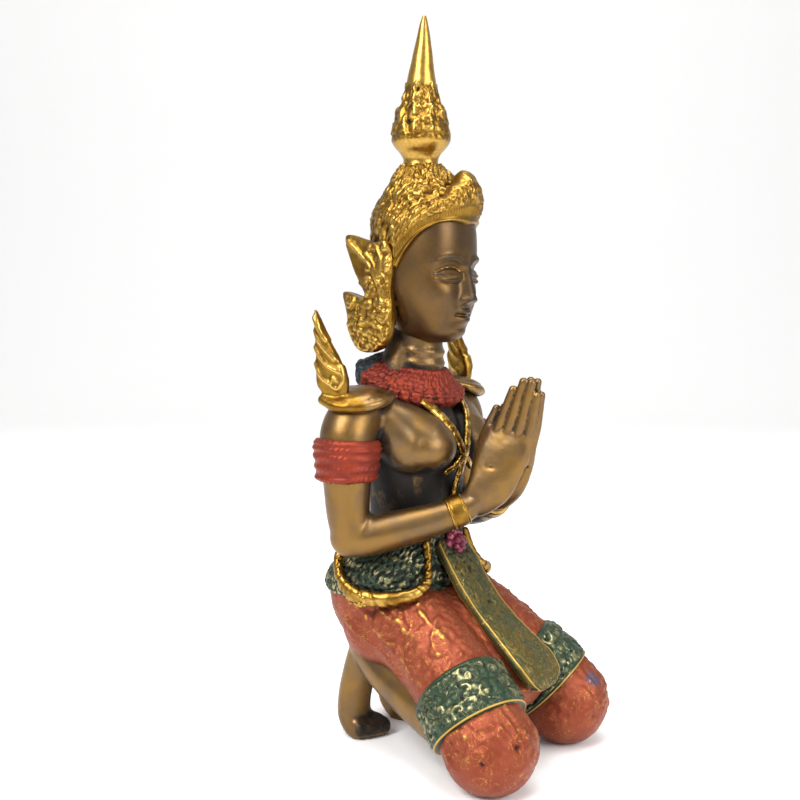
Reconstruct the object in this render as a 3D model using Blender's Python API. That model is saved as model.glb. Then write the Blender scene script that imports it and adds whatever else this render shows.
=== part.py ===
"""A kneeling thepphanom angel with joined palms, cast in bronze in one piece.

The figure faces -Y, its right hand is at -X, and it stands on its knees and toes at Z = 0.
It is drawn in units that make its spire TIP high. In the drawing the spire's axis is X = Y = 0.
"""

import math

import bmesh
import bpy
import numpy as np

# Driving sizes, in metres
HEIGHT = 0.230
TIP = 231.3
UNIT = HEIGHT / TIP

# The drawing's place over the middle of the base, in units
AXIS_BACK = 12.8

# How finely the casting is made, in units, and how many triangles it keeps
GRAIN = 0.42
TRIANGLES = 9600

FIGURE_NAME = "thepphanom_figure"
BRONZE = (0.36, 0.22, 0.09, 1.0)


# Curves and closed shells

def through(rows, count):
    """A smooth curve through rows of numbers (Catmull-Rom), sampled count times."""
    rows = np.asarray(rows, float)
    padded = np.vstack([2 * rows[0] - rows[1], rows, 2 * rows[-1] - rows[-2]])
    at = np.linspace(0, len(rows) - 1, count)
    span = np.minimum(at.astype(int), len(rows) - 2)
    t = (at - span)[:, None]
    a, b, c, d = (padded[span + k] for k in range(4))
    square, cube = 2 * a - 5 * b + 4 * c - d, 3 * b - a - 3 * c + d
    return 0.5 * (2 * b + (c - a) * t + square * t**2 + cube * t**3)


def unit(vectors):
    """Each vector at length one."""
    return vectors / np.maximum(np.linalg.norm(vectors, axis=-1, keepdims=True), 1e-9)


def shell(rings):
    """A closed mesh over rings of points, (rings, sides, 3), with a point in the middle of each end."""
    count, sides = rings.shape[:2]
    points = np.vstack([rings.reshape(-1, 3), rings[0].mean(0), rings[-1].mean(0)])
    ring, side = np.meshgrid(np.arange(count - 1), np.arange(sides), indexing="ij")
    after = (side + 1) % sides
    near, far = ring * sides + side, ring * sides + after
    quads = np.stack([near, far, far + sides, near + sides], -1)
    around = np.arange(sides)
    first = np.stack([(around + 1) % sides, around, np.full(sides, count * sides)], -1)
    last = np.stack([around, (around + 1) % sides, np.full(sides, count * sides + 1)], -1)
    last[:, :2] += (count - 1) * sides
    return points, quads.reshape(-1, 4).tolist() + first.tolist() + last.tolist()


def rounded_ends(rows, steps=4):
    """Rows of centre, half width and half depth, with a domed end added at each end."""
    def dome(end, before):
        away = unit(end[:3] - before[:3]) * min(end[3], end[4])
        turns = np.linspace(0, math.pi / 2, steps + 1)[1:]
        turns[-1] -= 0.12
        return np.array([[*(end[:3] + away * math.sin(t)), *(end[3:] * math.cos(t))] for t in turns])
    return np.vstack([dome(rows[0], rows[1])[::-1], rows, dome(rows[-1], rows[-2])])


def limb(rows, side=(1, 0, 0), sides=28, steps=28, power=2.0, ends=True):
    """A profile carried along a path. Each row is x, y, z, half width along side, half depth across it.
    The profile is a superellipse, a circle at power 2 and squarer above it."""
    rows = through(rows, steps)
    if ends:
        rows = rounded_ends(rows)
    centre = rows[:, :3]
    along = unit(np.gradient(centre, axis=0))
    across = unit(np.cross(along, np.asarray(side, float)))
    wide = unit(np.cross(across, along))
    turn = np.linspace(0, 2 * math.pi, sides, endpoint=False)
    u = np.sign(np.cos(turn)) * np.abs(np.cos(turn)) ** (2 / power)
    v = np.sign(np.sin(turn)) * np.abs(np.sin(turn)) ** (2 / power)
    rings = centre[:, None] + wide[:, None] * (u[None, :, None] * rows[:, 3, None, None])
    rings = rings + across[:, None] * (v[None, :, None] * rows[:, 4, None, None])
    return rings


def stack(rows, sides=64, steps=60, power=2.2):
    """Level rings one above another. Each row is z, half width, half depth, y of the middle."""
    rows = through(rows, steps)
    turn = np.linspace(0, 2 * math.pi, sides, endpoint=False)
    u = np.sign(np.sin(turn)) * np.abs(np.sin(turn)) ** (2 / power)
    v = -np.sign(np.cos(turn)) * np.abs(np.cos(turn)) ** (2 / power)
    x = rows[:, 1, None] * u
    y = rows[:, 3, None] + rows[:, 2, None] * v
    z = np.repeat(rows[:, :1], sides, 1)
    return np.stack([x, y, z], -1)


def turned(profile, sides=48, steps=40):
    """A turned shape round an upright axis. Each row of the profile is radius, z, y of the middle."""
    rows = through(profile, steps)
    turn = np.linspace(0, 2 * math.pi, sides, endpoint=False)
    x = rows[:, :1] * np.sin(turn)
    y = rows[:, 2:] - rows[:, :1] * np.cos(turn)
    return np.stack([x, y, np.repeat(rows[:, 1:2], sides, 1)], -1)


def plate(outline, thick, place, lean=0.0, steps=48, rim=0.55):
    """A flat leaf with a closed outline of (forward, up) points, upright at place in the Y-Z plane, turned
    about Z by lean radians and crowned to thick at its middle."""
    edge = through(np.vstack([outline, outline[:1]]), steps + 1)[:-1]
    middle = edge.mean(0)
    shares = np.array([1, 1, 0.86, 0.6, 0.3])
    crowns = np.array([rim, rim, 0.8, 1.0, 1.05])
    front = [(middle + (edge - middle) * s, thick * c) for s, c in zip(shares, crowns)]
    levels = [(flat, -high) for flat, high in front[:0:-1]] + [(flat, high) for flat, high in front[1:]]
    rings = []
    for flat, high in levels:
        x = high * math.cos(lean) - flat[:, 0] * math.sin(lean)
        y = -high * math.sin(lean) - flat[:, 0] * math.cos(lean)
        rings.append(np.stack([place[0] + x, place[1] + y, place[2] + flat[:, 1]], -1))
    return np.array(rings)


def mirrored(rings):
    """The same rings on the figure's other side."""
    other = rings[:, ::-1].copy()
    other[..., 0] *= -1
    return other


def both(rings):
    """A shape and its mirror image."""
    return [rings, mirrored(rings)]


# The body

TORSO = [
    # z, half width, half depth, y of the middle
    (52, 22, 16, 4.5), (60, 19, 14.5, 3.4), (66, 16.8, 13.2, 2.6), (72, 16.2, 13.0, 2.2), (80, 17.2, 13.6, 2.0),
    (88, 19.2, 13.6, 1.8), (96, 21.2, 13.2, 1.8), (102, 22.6, 12.2, 2.2), (106.5, 22.0, 11.2, 3.0),
    (110, 17.6, 10.4, 3.4), (113.5, 12.4, 9.4, 3.0), (118, 9.2, 8.2, 1.4),
]
BREAST = (10.4, -8.6, 98.6)
BREAST_SIZE = (10.4, 9.8, 8.6)
BREAST_DROOP = 0.12
NECK = [(0, 1.6, 113, 9, 8.6), (0, 0.6, 121, 7.9, 7.9), (0, 0.8, 128, 7.8, 7.8), (0, 1.5, 136, 8.4, 8.4)]
NECK_Y, NECK_RADIUS = 0.6, 7.9
# Folds round the neck: the lowest one's height, the step to the next, how many, half thickness, tilt
FOLD_Z, FOLD_STEP, FOLDS, FOLD_THICK, FOLD_TILT = 120.6, 3.6, 3, 0.55, 0.16


def ball(middle, size, sides=40, steps=24, droop=0.0):
    """An ellipsoid, its lower half fuller by droop."""
    up = np.linspace(-math.pi / 2 + 0.06, math.pi / 2 - 0.06, steps)
    turn = np.linspace(0, 2 * math.pi, sides, endpoint=False)
    level = np.sin(up)[:, None] * np.ones(sides)
    reach = np.cos(up)[:, None] * (1 - droop * level)
    x = middle[0] + size[0] * reach * np.sin(turn)
    y = middle[1] - size[1] * reach * np.cos(turn)
    return np.stack([x, y, middle[2] + size[2] * level], -1)


def torso():
    return [stack(TORSO, sides=72, steps=70), *both(ball(BREAST, BREAST_SIZE, droop=BREAST_DROOP))]


def neck():
    middles = [(0, NECK_Y, FOLD_Z + FOLD_STEP * k) for k in range(FOLDS)]
    return [limb(NECK), *(limb_ring(middle, NECK_RADIUS, FOLD_THICK, tilt=FOLD_TILT) for middle in middles)]


def limb_ring(middle, radius, thick, tilt=0.0, sides=40, section=8):
    """A ring round an upright axis, lower at the front by tilt, closed where it meets itself inside the neck."""
    turn = np.linspace(0, 2 * math.pi * 0.999, sides)
    x = middle[0] + radius * np.sin(turn)
    y = middle[1] - radius * np.cos(turn)
    z = middle[2] - tilt * radius * np.cos(turn)
    rows = np.stack([x, y, z, np.full(sides, thick), np.full(sides, thick)], -1)
    return limb(rows, side=(0, 0, 1), sides=section, steps=sides, ends=False)


# The head. Each row is z, half width, depth to the front, depth to the back, from HEAD_Y
HEAD_Y = -1.5
HEAD = [
    (130.0, 4.6, 9.4, 2.0), (131.5, 7.2, 11.8, 5.0), (134, 9.4, 13.0, 8.0), (138, 11.6, 14.0, 11.0),
    (143, 13.4, 14.8, 13.5), (148, 14.5, 15.2, 15.2), (154, 15.0, 15.6, 16.0), (160, 14.8, 16.0, 16.0),
    (166, 14.2, 15.6, 15.6), (172, 13.0, 13.8, 14.4), (178, 9.0, 9.6, 10.0), (182, 5.0, 5.4, 5.6),
]

# Face: each feature sits at a height taken from thirds of the face between hairline and chin
CHIN_Z = 130.0
HAIRLINE_Z = 166.5
THIRD = (HAIRLINE_Z - CHIN_Z) / 3
BROW_Z = HAIRLINE_Z - THIRD
NOSE_Z = CHIN_Z + THIRD
MOUTH_Z = CHIN_Z + THIRD * 0.69
EYE_Z = BROW_Z - THIRD * 0.30
EYE_X = 6.1
EYE_HALF = 4.3


def bell(x, width):
    """One at x = 0, fading over width."""
    return np.exp(-((x / width) ** 2))


def face_relief(x, z):
    """How far the face stands out from the plain head at side place x and height z."""
    x = np.abs(x)
    up = z - NOSE_Z
    slope = np.clip(1 - (up - 1.6) / 11.5, 0, 1)
    nose = 0.7 + 3.7 * slope**1.1
    nose = nose * np.clip((up + 0.9) / 1.9, 0, 1) * np.clip((BROW_Z + 3 - z) / 4, 0, 1)
    nose = nose * bell(x, 1.5 + 0.9 * slope) + 2.0 * bell(x - 2.4, 1.3) * bell(up - 1.1, 1.5)
    arch = BROW_Z - 0.4 + 2.8 * np.sin(np.clip((x - 0.8) / 10.5, 0, 1) * math.pi * 0.86)
    brow = 1.1 * bell(z - arch, 0.95) * (x < 12.5)
    socket = -2.3 * bell(x - EYE_X + 0.4, 4.2) * bell(z - EYE_Z - 0.6, 2.9)
    side = (x - EYE_X) / EYE_HALF
    ball = 2.1 * np.clip(1 - side**2 - ((z - EYE_Z) / 2.0) ** 2, 0, 1) ** 0.5
    lid = 1.0 * bell(z - EYE_Z - 2.3 + 1.5 * side**2, 0.7) * bell(side, 1.1)
    low_lid = 0.7 * bell(z - EYE_Z + 2.1 - 1.0 * side**2, 0.65) * bell(side, 1.0)
    lips = 1.7 * bell(x, 3.4) * (bell(z - MOUTH_Z - 1.2, 0.95) + 1.1 * bell(z - MOUTH_Z + 1.4, 1.05))
    lips = lips - 1.2 * bell(z - MOUTH_Z, 0.5) * bell(x, 4.4)
    chin = 1.6 * bell(x, 4.2) * bell(z - CHIN_Z - 3.2, 2.6)
    hollow = -0.9 * bell(x, 5) * bell(z - MOUTH_Z + 3.7, 1.1)
    cheek = 0.9 * bell(x - 8.2, 4.2) * bell(z - NOSE_Z - 2.0, 5.0)
    return nose + brow + socket + ball + lid + low_lid + lips + chin + hollow + cheek


def head():
    rows = through(HEAD, 120)
    turn = np.linspace(0, 2 * math.pi, 128, endpoint=False)
    turn = turn - 0.42 * np.sin(turn)
    power = 2.25
    u = np.sign(np.sin(turn)) * np.abs(np.sin(turn)) ** (2 / power)
    v = np.sign(np.cos(turn)) * np.abs(np.cos(turn)) ** (2 / power)
    depth = np.where(v[None] > 0, rows[:, 2, None], rows[:, 3, None])
    x = rows[:, 1, None] * u
    y = HEAD_Y - depth * v
    z = np.repeat(rows[:, :1], len(turn), 1)
    out = unit(np.stack([u[None] / rows[:, 1, None], -v[None] / depth, 0 * z], -1))
    relief = face_relief(x, z) * np.clip(v[None] * 2.2, 0, 1)
    return [np.stack([x, y, z], -1) + out * relief[..., None]]


ARM = [
    # x, y, z, half width, half depth
    (22, 4.8, 105.0, 7.6, 7.6), (27.5, 5.2, 106.6, 8.6, 8.4), (31.2, 5.2, 103, 8.7, 8.5), (32, 5.2, 97, 8.4, 8.3),
    (32.1, 5.2, 88, 7.3, 7.3), (32.2, 4.8, 79, 6.6, 6.6), (31.8, 3.6, 71.8, 6.2, 6.3),
]
FOREARM = [
    (31.8, 4.4, 71.4, 6.2, 6.2), (28.8, 0.0, 71.8, 6.2, 6.2), (22, -8.4, 74.0, 5.8, 5.9),
    (15, -16.6, 76.8, 5.0, 5.1), (9.4, -22.4, 79.4, 4.5, 4.7), (6.4, -25.2, 81.6, 3.9, 4.8),
]
PALM = [
    (5.4, -25.4, 81.4, 3.6, 5.0), (4.4, -27.6, 86, 3.4, 5.8), (3.7, -29.3, 91.5, 3.3, 6.8),
    (3.3, -31.0, 97, 3.1, 7.2), (3.0, -32.6, 101.5, 2.6, 6.8),
]
# Fingers: base y, base z, tip y, tip z, middle x, half width
FINGERS = [
    (-28.4, 98.5, -35.4, 116.2, 2.7, 1.1),
    (-31.9, 99.0, -39.0, 118.6, 2.6, 1.15),
    (-35.2, 98.5, -42.0, 119.0, 2.4, 1.1),
    (-38.3, 97.5, -43.4, 114.4, 2.0, 1.0),
]
# The flat of the fingers between their rounded backs
FINGER_CORE = [(0.9, -31.8, 96, 1.2, 6.2), (0.9, -35.4, 106, 1.1, 5.6), (0.8, -38.8, 114.4, 0.9, 3.8)]
THUMB = [
    (3.2, -23.6, 89, 2.2, 2.0), (2.9, -24.2, 96, 2.1, 1.8), (2.5, -26.8, 104, 1.9, 1.6),
    (2.2, -29.6, 110.4, 1.4, 1.2),
]
FINGER_BOW = 0.35
FINGER_HALF = 2.2
# The pair of hands is thinner at the little fingers than at the thumbs
HAND_BACK_Y = -24.0
HAND_TAPER = 0.028


def hand_taper(rings):
    """Brings the points of a hand nearer to X = 0, the further forward of the thumbs' line they are."""
    out = rings.copy()
    forward = np.clip(HAND_BACK_Y - rings[..., 1] - 0.33 * (rings[..., 2] - 88), 0, 16)
    out[..., 0] *= 1.06 - HAND_TAPER * forward
    return out


def hand():
    shapes = [limb(PALM, sides=32, steps=26, power=2.4), limb(FINGER_CORE, sides=28, steps=14, power=3)]
    for y0, z0, y1, z1, x, half in FINGERS:
        bow = (y0 + y1) / 2 - FINGER_BOW
        base = (x, y0, z0, FINGER_HALF, half)
        middle = (x, bow, (z0 + z1) / 2, FINGER_HALF * 0.93, half * 0.97)
        rows = [base, middle, (x * 0.8, y1, z1, FINGER_HALF * 0.68, half * 0.72)]
        shapes.append(limb(rows, side=(1, 0, 0), sides=16, steps=16))
    shapes.append(limb(THUMB, side=(1, 0, 0), sides=16, steps=16))
    return [hand_taper(rings) for rings in shapes]


def arm():
    shapes = [limb(ARM, sides=36, steps=40), limb(FOREARM, side=(0, 0, 1), sides=32, steps=40), *hand()]
    return [m for s in shapes for m in both(s)]


# Hips, thighs and lower legs. The hips' rows are z, half width, half depth, y of the middle
HIPS = [
    (28, 10, 7, 6), (32, 18, 12.5, 6.6), (37, 22.5, 16, 7), (43, 25.5, 18.6, 7.3), (50, 26.8, 19.6, 7.3),
    (56, 26, 18.8, 6.8), (61, 24, 17, 5.6), (65, 20.5, 15, 4.2), (69, 16.5, 13, 2.6),
]
THIGH = [
    (12.2, 5, 41.5, 14.0, 15), (13.4, -6, 40.2, 13.6, 14.6), (16.4, -18, 33.4, 13.2, 13.8),
    (20.0, -29, 25.2, 13.2, 13.2), (23.0, -37.2, 17.4, 13.6, 13.6), (23.8, -40.6, 13.4, 14.2, 14.2),
]
# The cloth between the thighs
WEB = [(0, -4, 45, 15, 10.4), (0, -16, 40.2, 15, 10.4), (0, -27, 31.6, 15, 9.4), (0, -35.5, 24.4, 14, 7.6)]
SHIN = [
    (23, -36, 16.5, 10, 10), (21.8, -26, 17.6, 9.4, 9.6), (19, -14, 20.0, 8.4, 8.4),
    (15.4, 0, 24.6, 7.6, 7.4), (12.6, 9.5, 29.4, 6.6, 6.8), (11.6, 14, 33.4, 5.8, 5.8),
]
FOOT = [
    (11.4, 10.6, 38, 5.6, 5.8), (11.4, 12.6, 32, 5.6, 5.8), (11.4, 15.8, 23, 5.4, 5.6),
    (11.4, 18.2, 14, 5.5, 5.4), (11.4, 18.6, 7, 5.8, 5.2), (11.4, 16.8, 3.4, 5.8, 4.6),
]
TOES = 5
TOE_SPREAD = 8.8
TOE_BACK, TOE_FRONT, TOE_Z = 15.6, 9.2, 3.2
# The great toe's half width, how much less the little toe's is, and how much further back it ends
TOE_HALF, TOE_THINNER, TOE_SHORTER = 2.0, 0.6, 3.4


def leg():
    shapes = [limb(THIGH, sides=40, steps=40), limb(SHIN, sides=32, steps=36), limb(FOOT, sides=28, steps=30)]
    for k in range(TOES):
        share = k / (TOES - 1)
        x = FOOT[-1][0] + TOE_SPREAD * (share - 0.5)
        front = TOE_FRONT + TOE_SHORTER * share**1.6
        half = TOE_HALF - TOE_THINNER * share
        middle = (TOE_BACK + front) / 2
        root = (x, TOE_BACK, TOE_Z, half, half + 2.0)
        rows = [root, (x, middle, TOE_Z, half, half + 1.8), (x, front, TOE_Z - 0.2, half, half + 1.0)]
        shapes.append(limb(rows, sides=12, steps=10))
    return [m for s in shapes for m in both(s)]


def lap():
    """The trouser cloth between the thighs."""
    return [stack(HIPS, sides=64, steps=56), limb(WEB, power=2.6)]


# Dress and jewels

COLLAR = [
    # half width, half depth, z, how far it drops at the front
    (7.2, 7.2, 122.4, 0), (8.6, 8.6, 123.6, 0.8), (12.6, 11.4, 122.6, 3.6), (16.6, 13.8, 121.0, 7.4),
    (18.8, 14.8, 119.6, 8.8), (18.4, 14.4, 115.6, 8.0), (12, 9, 112, 5), (7.2, 7, 112, 0),
]
# How far back its outer edge's middle is from its inner edge's, and the scallops of its edge
COLLAR_Y = 3.2
SCALLOP, SCALLOPS = 0.5, 13


def collar():
    """A wide neck band that lies on the shoulders, deeper at the front, with a scalloped edge."""
    turn = np.linspace(0, 2 * math.pi, 96, endpoint=False)
    front = (1 + np.cos(turn)) / 2
    scallop = SCALLOP * np.abs(np.sin(turn * SCALLOPS))
    rings = []
    for k, (wide, deep, z, drop) in enumerate(COLLAR):
        reach = scallop if 3 <= k <= 5 else 0
        x = (wide + reach) * np.sin(turn)
        y = NECK_Y + COLLAR_Y * (wide - 7) / 11.8 - (deep + reach) * np.cos(turn)
        rings.append(np.stack([x, y, z - drop * front**1.3], -1))
    return [np.array(rings)]


EPAULETTE_FLAME = [
    # forward, up
    (0.0, -2.0), (5.0, 0.6), (5.4, 5.5), (2.6, 11.5), (-0.8, 17.5), (-4.0, 24.6), (-5.0, 25.0), (-4.6, 18),
    (-4.4, 10), (-4.0, 3),
]
EPAULETTE_PLACE, EPAULETTE_LEAN, EPAULETTE_THICK = (36.2, 8.0, 114.8), 0.30, 2.0
EPAULETTE_PAD = [
    (21.5, 3.2, 115.6, 5.4, 1.5), (26, 4.4, 115.6, 7.6, 2.1), (30.5, 5.6, 114.8, 8.2, 2.3),
    (34.5, 7.0, 113.4, 6.4, 2.2),
]
EPAULETTE_RIM = [
    (20.4, -1.4, 114.6, 1.2, 1.2), (24, -3.6, 113.4, 1.5, 1.5), (29, -3.2, 112.0, 1.7, 1.7),
    (33.6, -0.4, 111.4, 1.8, 1.8), (36.8, 4.8, 112.0, 1.9, 1.9), (37.0, 10, 114.2, 1.6, 1.6),
]


def epaulettes():
    pad = limb(EPAULETTE_PAD, side=(0, 1, 0), sides=32, steps=20)
    rim = limb(EPAULETTE_RIM, side=(0, 0, 1), sides=16, steps=36)
    flame = plate(EPAULETTE_FLAME, EPAULETTE_THICK, EPAULETTE_PLACE, lean=EPAULETTE_LEAN)
    return [m for s in (pad, rim, flame) for m in both(s)]


EAR_FLAME = [
    # forward, up
    (0.6, 0.5), (1.6, 10), (1.2, 20), (2.0, 29), (-0.6, 35), (-6, 34.6), (-17.4, 37.0), (-14.6, 28.6),
    (-8.6, 19.6), (-11.0, 17.4), (-18.6, 19.2), (-17.6, 10.5), (-15.0, 4.6), (-11.6, 0.2), (-6, 0.2),
]
EAR_PLACE, EAR_LEAN, EAR_THICK = (15.2, 1.4, 126.6), -0.1, 2.2


def ear_flames():
    return both(plate(EAR_FLAME, EAR_THICK, EAR_PLACE, lean=EAR_LEAN, steps=90))


SPIRE = [
    # radius, z, y of the middle
    (6.4, 181.5, 0), (5.9, 184.5, 0), (5.5, 187.0, 0), (6.4, 189, 0), (7.8, 190.6, 0), (8.9, 192.2, 0),
    (9.2, 193.6, 0), (8.8, 196.4, 0), (7.9, 199.4, 0), (7.1, 202.6, 0), (5.9, 204, 0), (5.6, 206.2, 0),
    (4.9, 208.4, 0), (4.8, 210.4, -0.1), (4.0, 214.8, -0.3), (3.1, 219.6, -0.6), (2.2, 224.8, -0.9),
    (1.3, 229.0, -1.1), (0.6, TIP + 0.1, -1.2),
]
DOME = [
    (12.6, 160, -1.2), (14.2, 163, -1.2), (15.0, 167, -1.2), (14.5, 171, -1.3), (13.2, 175, -1.4),
    (11.4, 178.6, -1.3), (9.4, 181.4, -0.9), (7.6, 183.6, -0.5), (6.0, 185.4, 0),
]
# Rings of leaves on the spire: radius, z of their middle, height
SPIRE_TIERS = [(8.9, 197.4, 5.6), (6.7, 203.6, 5.0), (5.2, 208.6, 3.2)]
# How far apart the leaves of a ring stand
LEAF_SPACING = 7.0
LEAF_THICK = 0.8


def leaf(middle, turn, up_height, half, thick, lean_in=0.25):
    """A pointed leaf standing on a tier, facing out at turn from the front."""
    face = np.array([math.sin(turn), -math.cos(turn), 0])
    base = np.asarray(middle, float)
    rows = []
    for share, wide in ((0, 0.8), (0.35, 1.0), (0.7, 0.6), (1.0, 0.12)):
        at = base + np.array([0, 0, share * up_height]) - face * lean_in * share * up_height
        rows.append((*at, half * wide, thick * (1 - 0.5 * share)))
    return limb(rows, side=(math.cos(turn), math.sin(turn), 0), sides=12, steps=9)


def crown():
    shapes = [turned(DOME, sides=56, steps=30), turned(SPIRE, sides=40, steps=72)]
    for radius, z, high in SPIRE_TIERS:
        count = round(2 * math.pi * radius / LEAF_SPACING)
        seat = radius * 0.92
        for k in range(count):
            turn = 2 * math.pi * (k + 0.5) / count
            middle = (seat * math.sin(turn), -seat * math.cos(turn), z - high * 0.55)
            shapes.append(leaf(middle, turn, high, radius * 2.75 / count, LEAF_THICK))
    return shapes


# Diadem: heights of its edges, turns are angles from the front
DIADEM_LOW, DIADEM_ARCH, DIADEM_FALL = 166.4, 2.4, 13.5
DIADEM_HIGH, DIADEM_PEAK, DIADEM_SLOPE, DIADEM_LEAF = 174.6, 7.8, 5.2, 0.9
ARCH_END, FALL_START, PEAK_SPREAD, SLOPE_START, SLOPE_END = 0.95, 0.62, 0.42, 0.5, 1.6
FLUTE, FLUTES = 0.35, 34


def diadem_low(turn):
    """Height of the diadem's lower edge: a peak over the nose, an arch over each brow, then down to the ear."""
    side = np.abs(turn)
    arch = DIADEM_ARCH * np.sin(np.clip(side / ARCH_END, 0, 1) * math.pi) ** 1.4
    return DIADEM_LOW + arch - DIADEM_FALL * np.clip((side - FALL_START) / ARCH_END, 0, 1) ** 1.5


def diadem_high(turn):
    """Height of the diadem's upper edge, with its point at the front and small leaves along it."""
    side = np.abs(turn)
    leaves = DIADEM_LEAF * np.abs(np.sin(side * 9 + 0.4))
    slope = DIADEM_SLOPE * np.clip((side - SLOPE_START) / (SLOPE_END - SLOPE_START), 0, 1)
    return DIADEM_HIGH + DIADEM_PEAK * bell(side, PEAK_SPREAD) - slope + leaves


DIADEM_END = 1.62
DIADEM_WALL = [
    # distance out from the head's middle, share of the band's height, lean outward at the front
    (11.5, 0.0, 0), (17.2, 0.0, 0.3), (18.1, 0.1, 0.8), (17.8, 0.28, 1.2), (18.3, 0.62, 1.0), (17.6, 0.86, 0.0),
    (15.4, 1.0, -0.9), (11.5, 0.92, 0),
]


def diadem():
    turn = np.linspace(-DIADEM_END, DIADEM_END, 96)
    low, high = diadem_low(turn), diadem_high(turn)
    flutes = FLUTE * np.cos(turn * FLUTES)
    rings = []
    for k, (out, level, lean) in enumerate(DIADEM_WALL):
        z = low + (high - low) * level
        reach = out + (flutes if 2 <= k <= 4 else 0) + lean * bell(turn, 0.55)
        x = reach * 0.92 * np.sin(turn)
        y = HEAD_Y - reach * 1.02 * np.cos(turn)
        rings.append(np.stack([x, y, z], -1))
    return [np.swapaxes(np.array(rings), 0, 1)]


def part_of(rows, start, end, grow, ends=False, **how):
    """The stretch of a limb between two shares of its length, grown outward: a sleeve round it."""
    whole = through(rows, 101)
    cut = whole[int(start * 100):int(end * 100) + 1].copy()
    cut[:, 3:5] += grow
    edge = cut[[0, -1]].copy()
    edge[:, 3:5] -= grow * 0.55
    step = unit(np.diff(cut[[0, 1, -2, -1]], axis=0)[[0, 2], :3]) * grow * 0.5
    edge[0, :3] -= step[0]
    edge[1, :3] += step[1]
    return limb(np.vstack([edge[:1], cut, edge[1:]]), steps=len(cut) + 2, ends=ends, **how)


# Bands: start and end as shares of the limb's rows, and how far they stand out
ARM_BAND = (0.42, 0.68, 2.2)
BRACELET = (0.70, 0.86, 0.9)
KNEE_BAND = (0.56, 0.84, 1.5)


def bands():
    shapes = [part_of(ARM, *ARM_BAND, sides=36), part_of(FOREARM, *BRACELET, side=(0, 0, 1), sides=32)]
    shapes.append(part_of(THIGH, *KNEE_BAND, sides=40))
    return [m for s in shapes for m in both(s)]


HIP_CLOTH = [
    # z, half width, half depth, y of the middle
    (48.6, 24.5, 17, 7.2), (49.4, 28.0, 20.8, 7.3), (53, 28.0, 20.8, 7.2), (58, 26.6, 19.2, 6.4),
    (62, 24.6, 17.4, 5.2), (65.5, 21, 15.4, 4.2), (68, 17.6, 13.8, 3.2),
]
SWAG = [
    (10.6, -10.8, 68, 1.6, 1.6), (11.6, -12.6, 62, 1.7, 1.7), (15.6, -14.2, 55.6, 1.8, 1.8),
    (22.6, -10.6, 51.6, 1.9, 1.9), (28.0, -0.4, 50.2, 2.0, 2.0), (29.2, 8, 52.6, 2.0, 2.0),
    (27.4, 13.6, 59.5, 1.7, 1.7), (24.6, 15.0, 64.0, 1.5, 1.5),
]
FLOWER = (0, -12.6, 66.0)
FLOWER_SIZE = (5.0, 4.2, 5.0)


def waist():
    swag = limb(SWAG, side=(0, 0, 1), sides=16, steps=48)
    return [stack(HIP_CLOTH, steps=30), ball(FLOWER, FLOWER_SIZE), *both(swag)]


# The apron that falls from the waist over the lap. Rows are y, z, half width
APRON = [
    (-11.5, 66, 6.6), (-15.4, 60.6, 8.0), (-20.8, 52.6, 9.8), (-27.6, 45.0, 11.2), (-36.0, 37.8, 12.6),
    (-43.0, 31.6, 13.2), (-46.4, 26.6, 11.6), (-46.8, 22.8, 8.6),
]
APRON_THICK = 1.7


def apron():
    rows = [(0, y, z, half, APRON_THICK) for y, z, half in APRON]
    return [limb(rows, sides=32, steps=40, power=3.2)]


STRAP = [
    (9.6, -8.6, 111.4, 1.3, 1.3), (7.0, -13.4, 106.0, 1.3, 1.3), (3.8, -14.8, 100, 1.3, 1.3),
    (1.0, -14.4, 95, 1.4, 1.4), (4.0, -13.6, 91.0, 1.2, 1.2), (8.4, -14.0, 88.2, 1.1, 1.1), (14, -11.8, 86, 1.0, 1.0),
]
HANGING = [(0, -14.6, 97, 1.5, 1.2), (0, -12.8, 88, 1.4, 1.2), (0, -12.0, 78, 1.4, 1.2), (0, -11.2, 70, 1.4, 1.2)]


def straps():
    return [limb(HANGING, sides=12), *both(limb(STRAP, side=(0, 0, 1), sides=12, steps=30))]


# One casting

def grown_together(shapes):
    """Every shell in one mesh, in metres, with its faces pointing out."""
    bm = bmesh.new()
    for rings in shapes:
        points, faces = shell(rings)
        points = (points + (0, AXIS_BACK, 0)) * UNIT
        made = [bm.verts.new(p) for p in points]
        new = [bm.faces.new([made[i] for i in face]) for face in faces]
        bmesh.ops.recalc_face_normals(bm, faces=new)
    mesh = bpy.data.meshes.new(FIGURE_NAME)
    bm.to_mesh(mesh)
    bm.free()
    return mesh


def cast(mesh):
    """The shells fused to one skin, softened where they meet, thinned to the triangles that the form needs."""
    figure = bpy.data.objects.new(FIGURE_NAME, mesh)
    bpy.context.scene.collection.objects.link(figure)
    fuse = figure.modifiers.new("fuse", "REMESH")
    fuse.mode = "VOXEL"
    fuse.voxel_size = GRAIN * UNIT
    soften = figure.modifiers.new("soften", "SMOOTH")
    soften.factor = 0.5
    soften.iterations = 2
    evaluated = figure.evaluated_get(bpy.context.evaluated_depsgraph_get())
    whole = bpy.data.meshes.new_from_object(evaluated)
    figure.modifiers.clear()
    figure.data = whole
    triangles = 2 * len(whole.polygons)
    thin = figure.modifiers.new("thin", "DECIMATE")
    thin.ratio = TRIANGLES / triangles
    evaluated = figure.evaluated_get(bpy.context.evaluated_depsgraph_get())
    thinned = bpy.data.meshes.new_from_object(evaluated)
    figure.modifiers.clear()
    figure.data = thinned
    return figure


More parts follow.
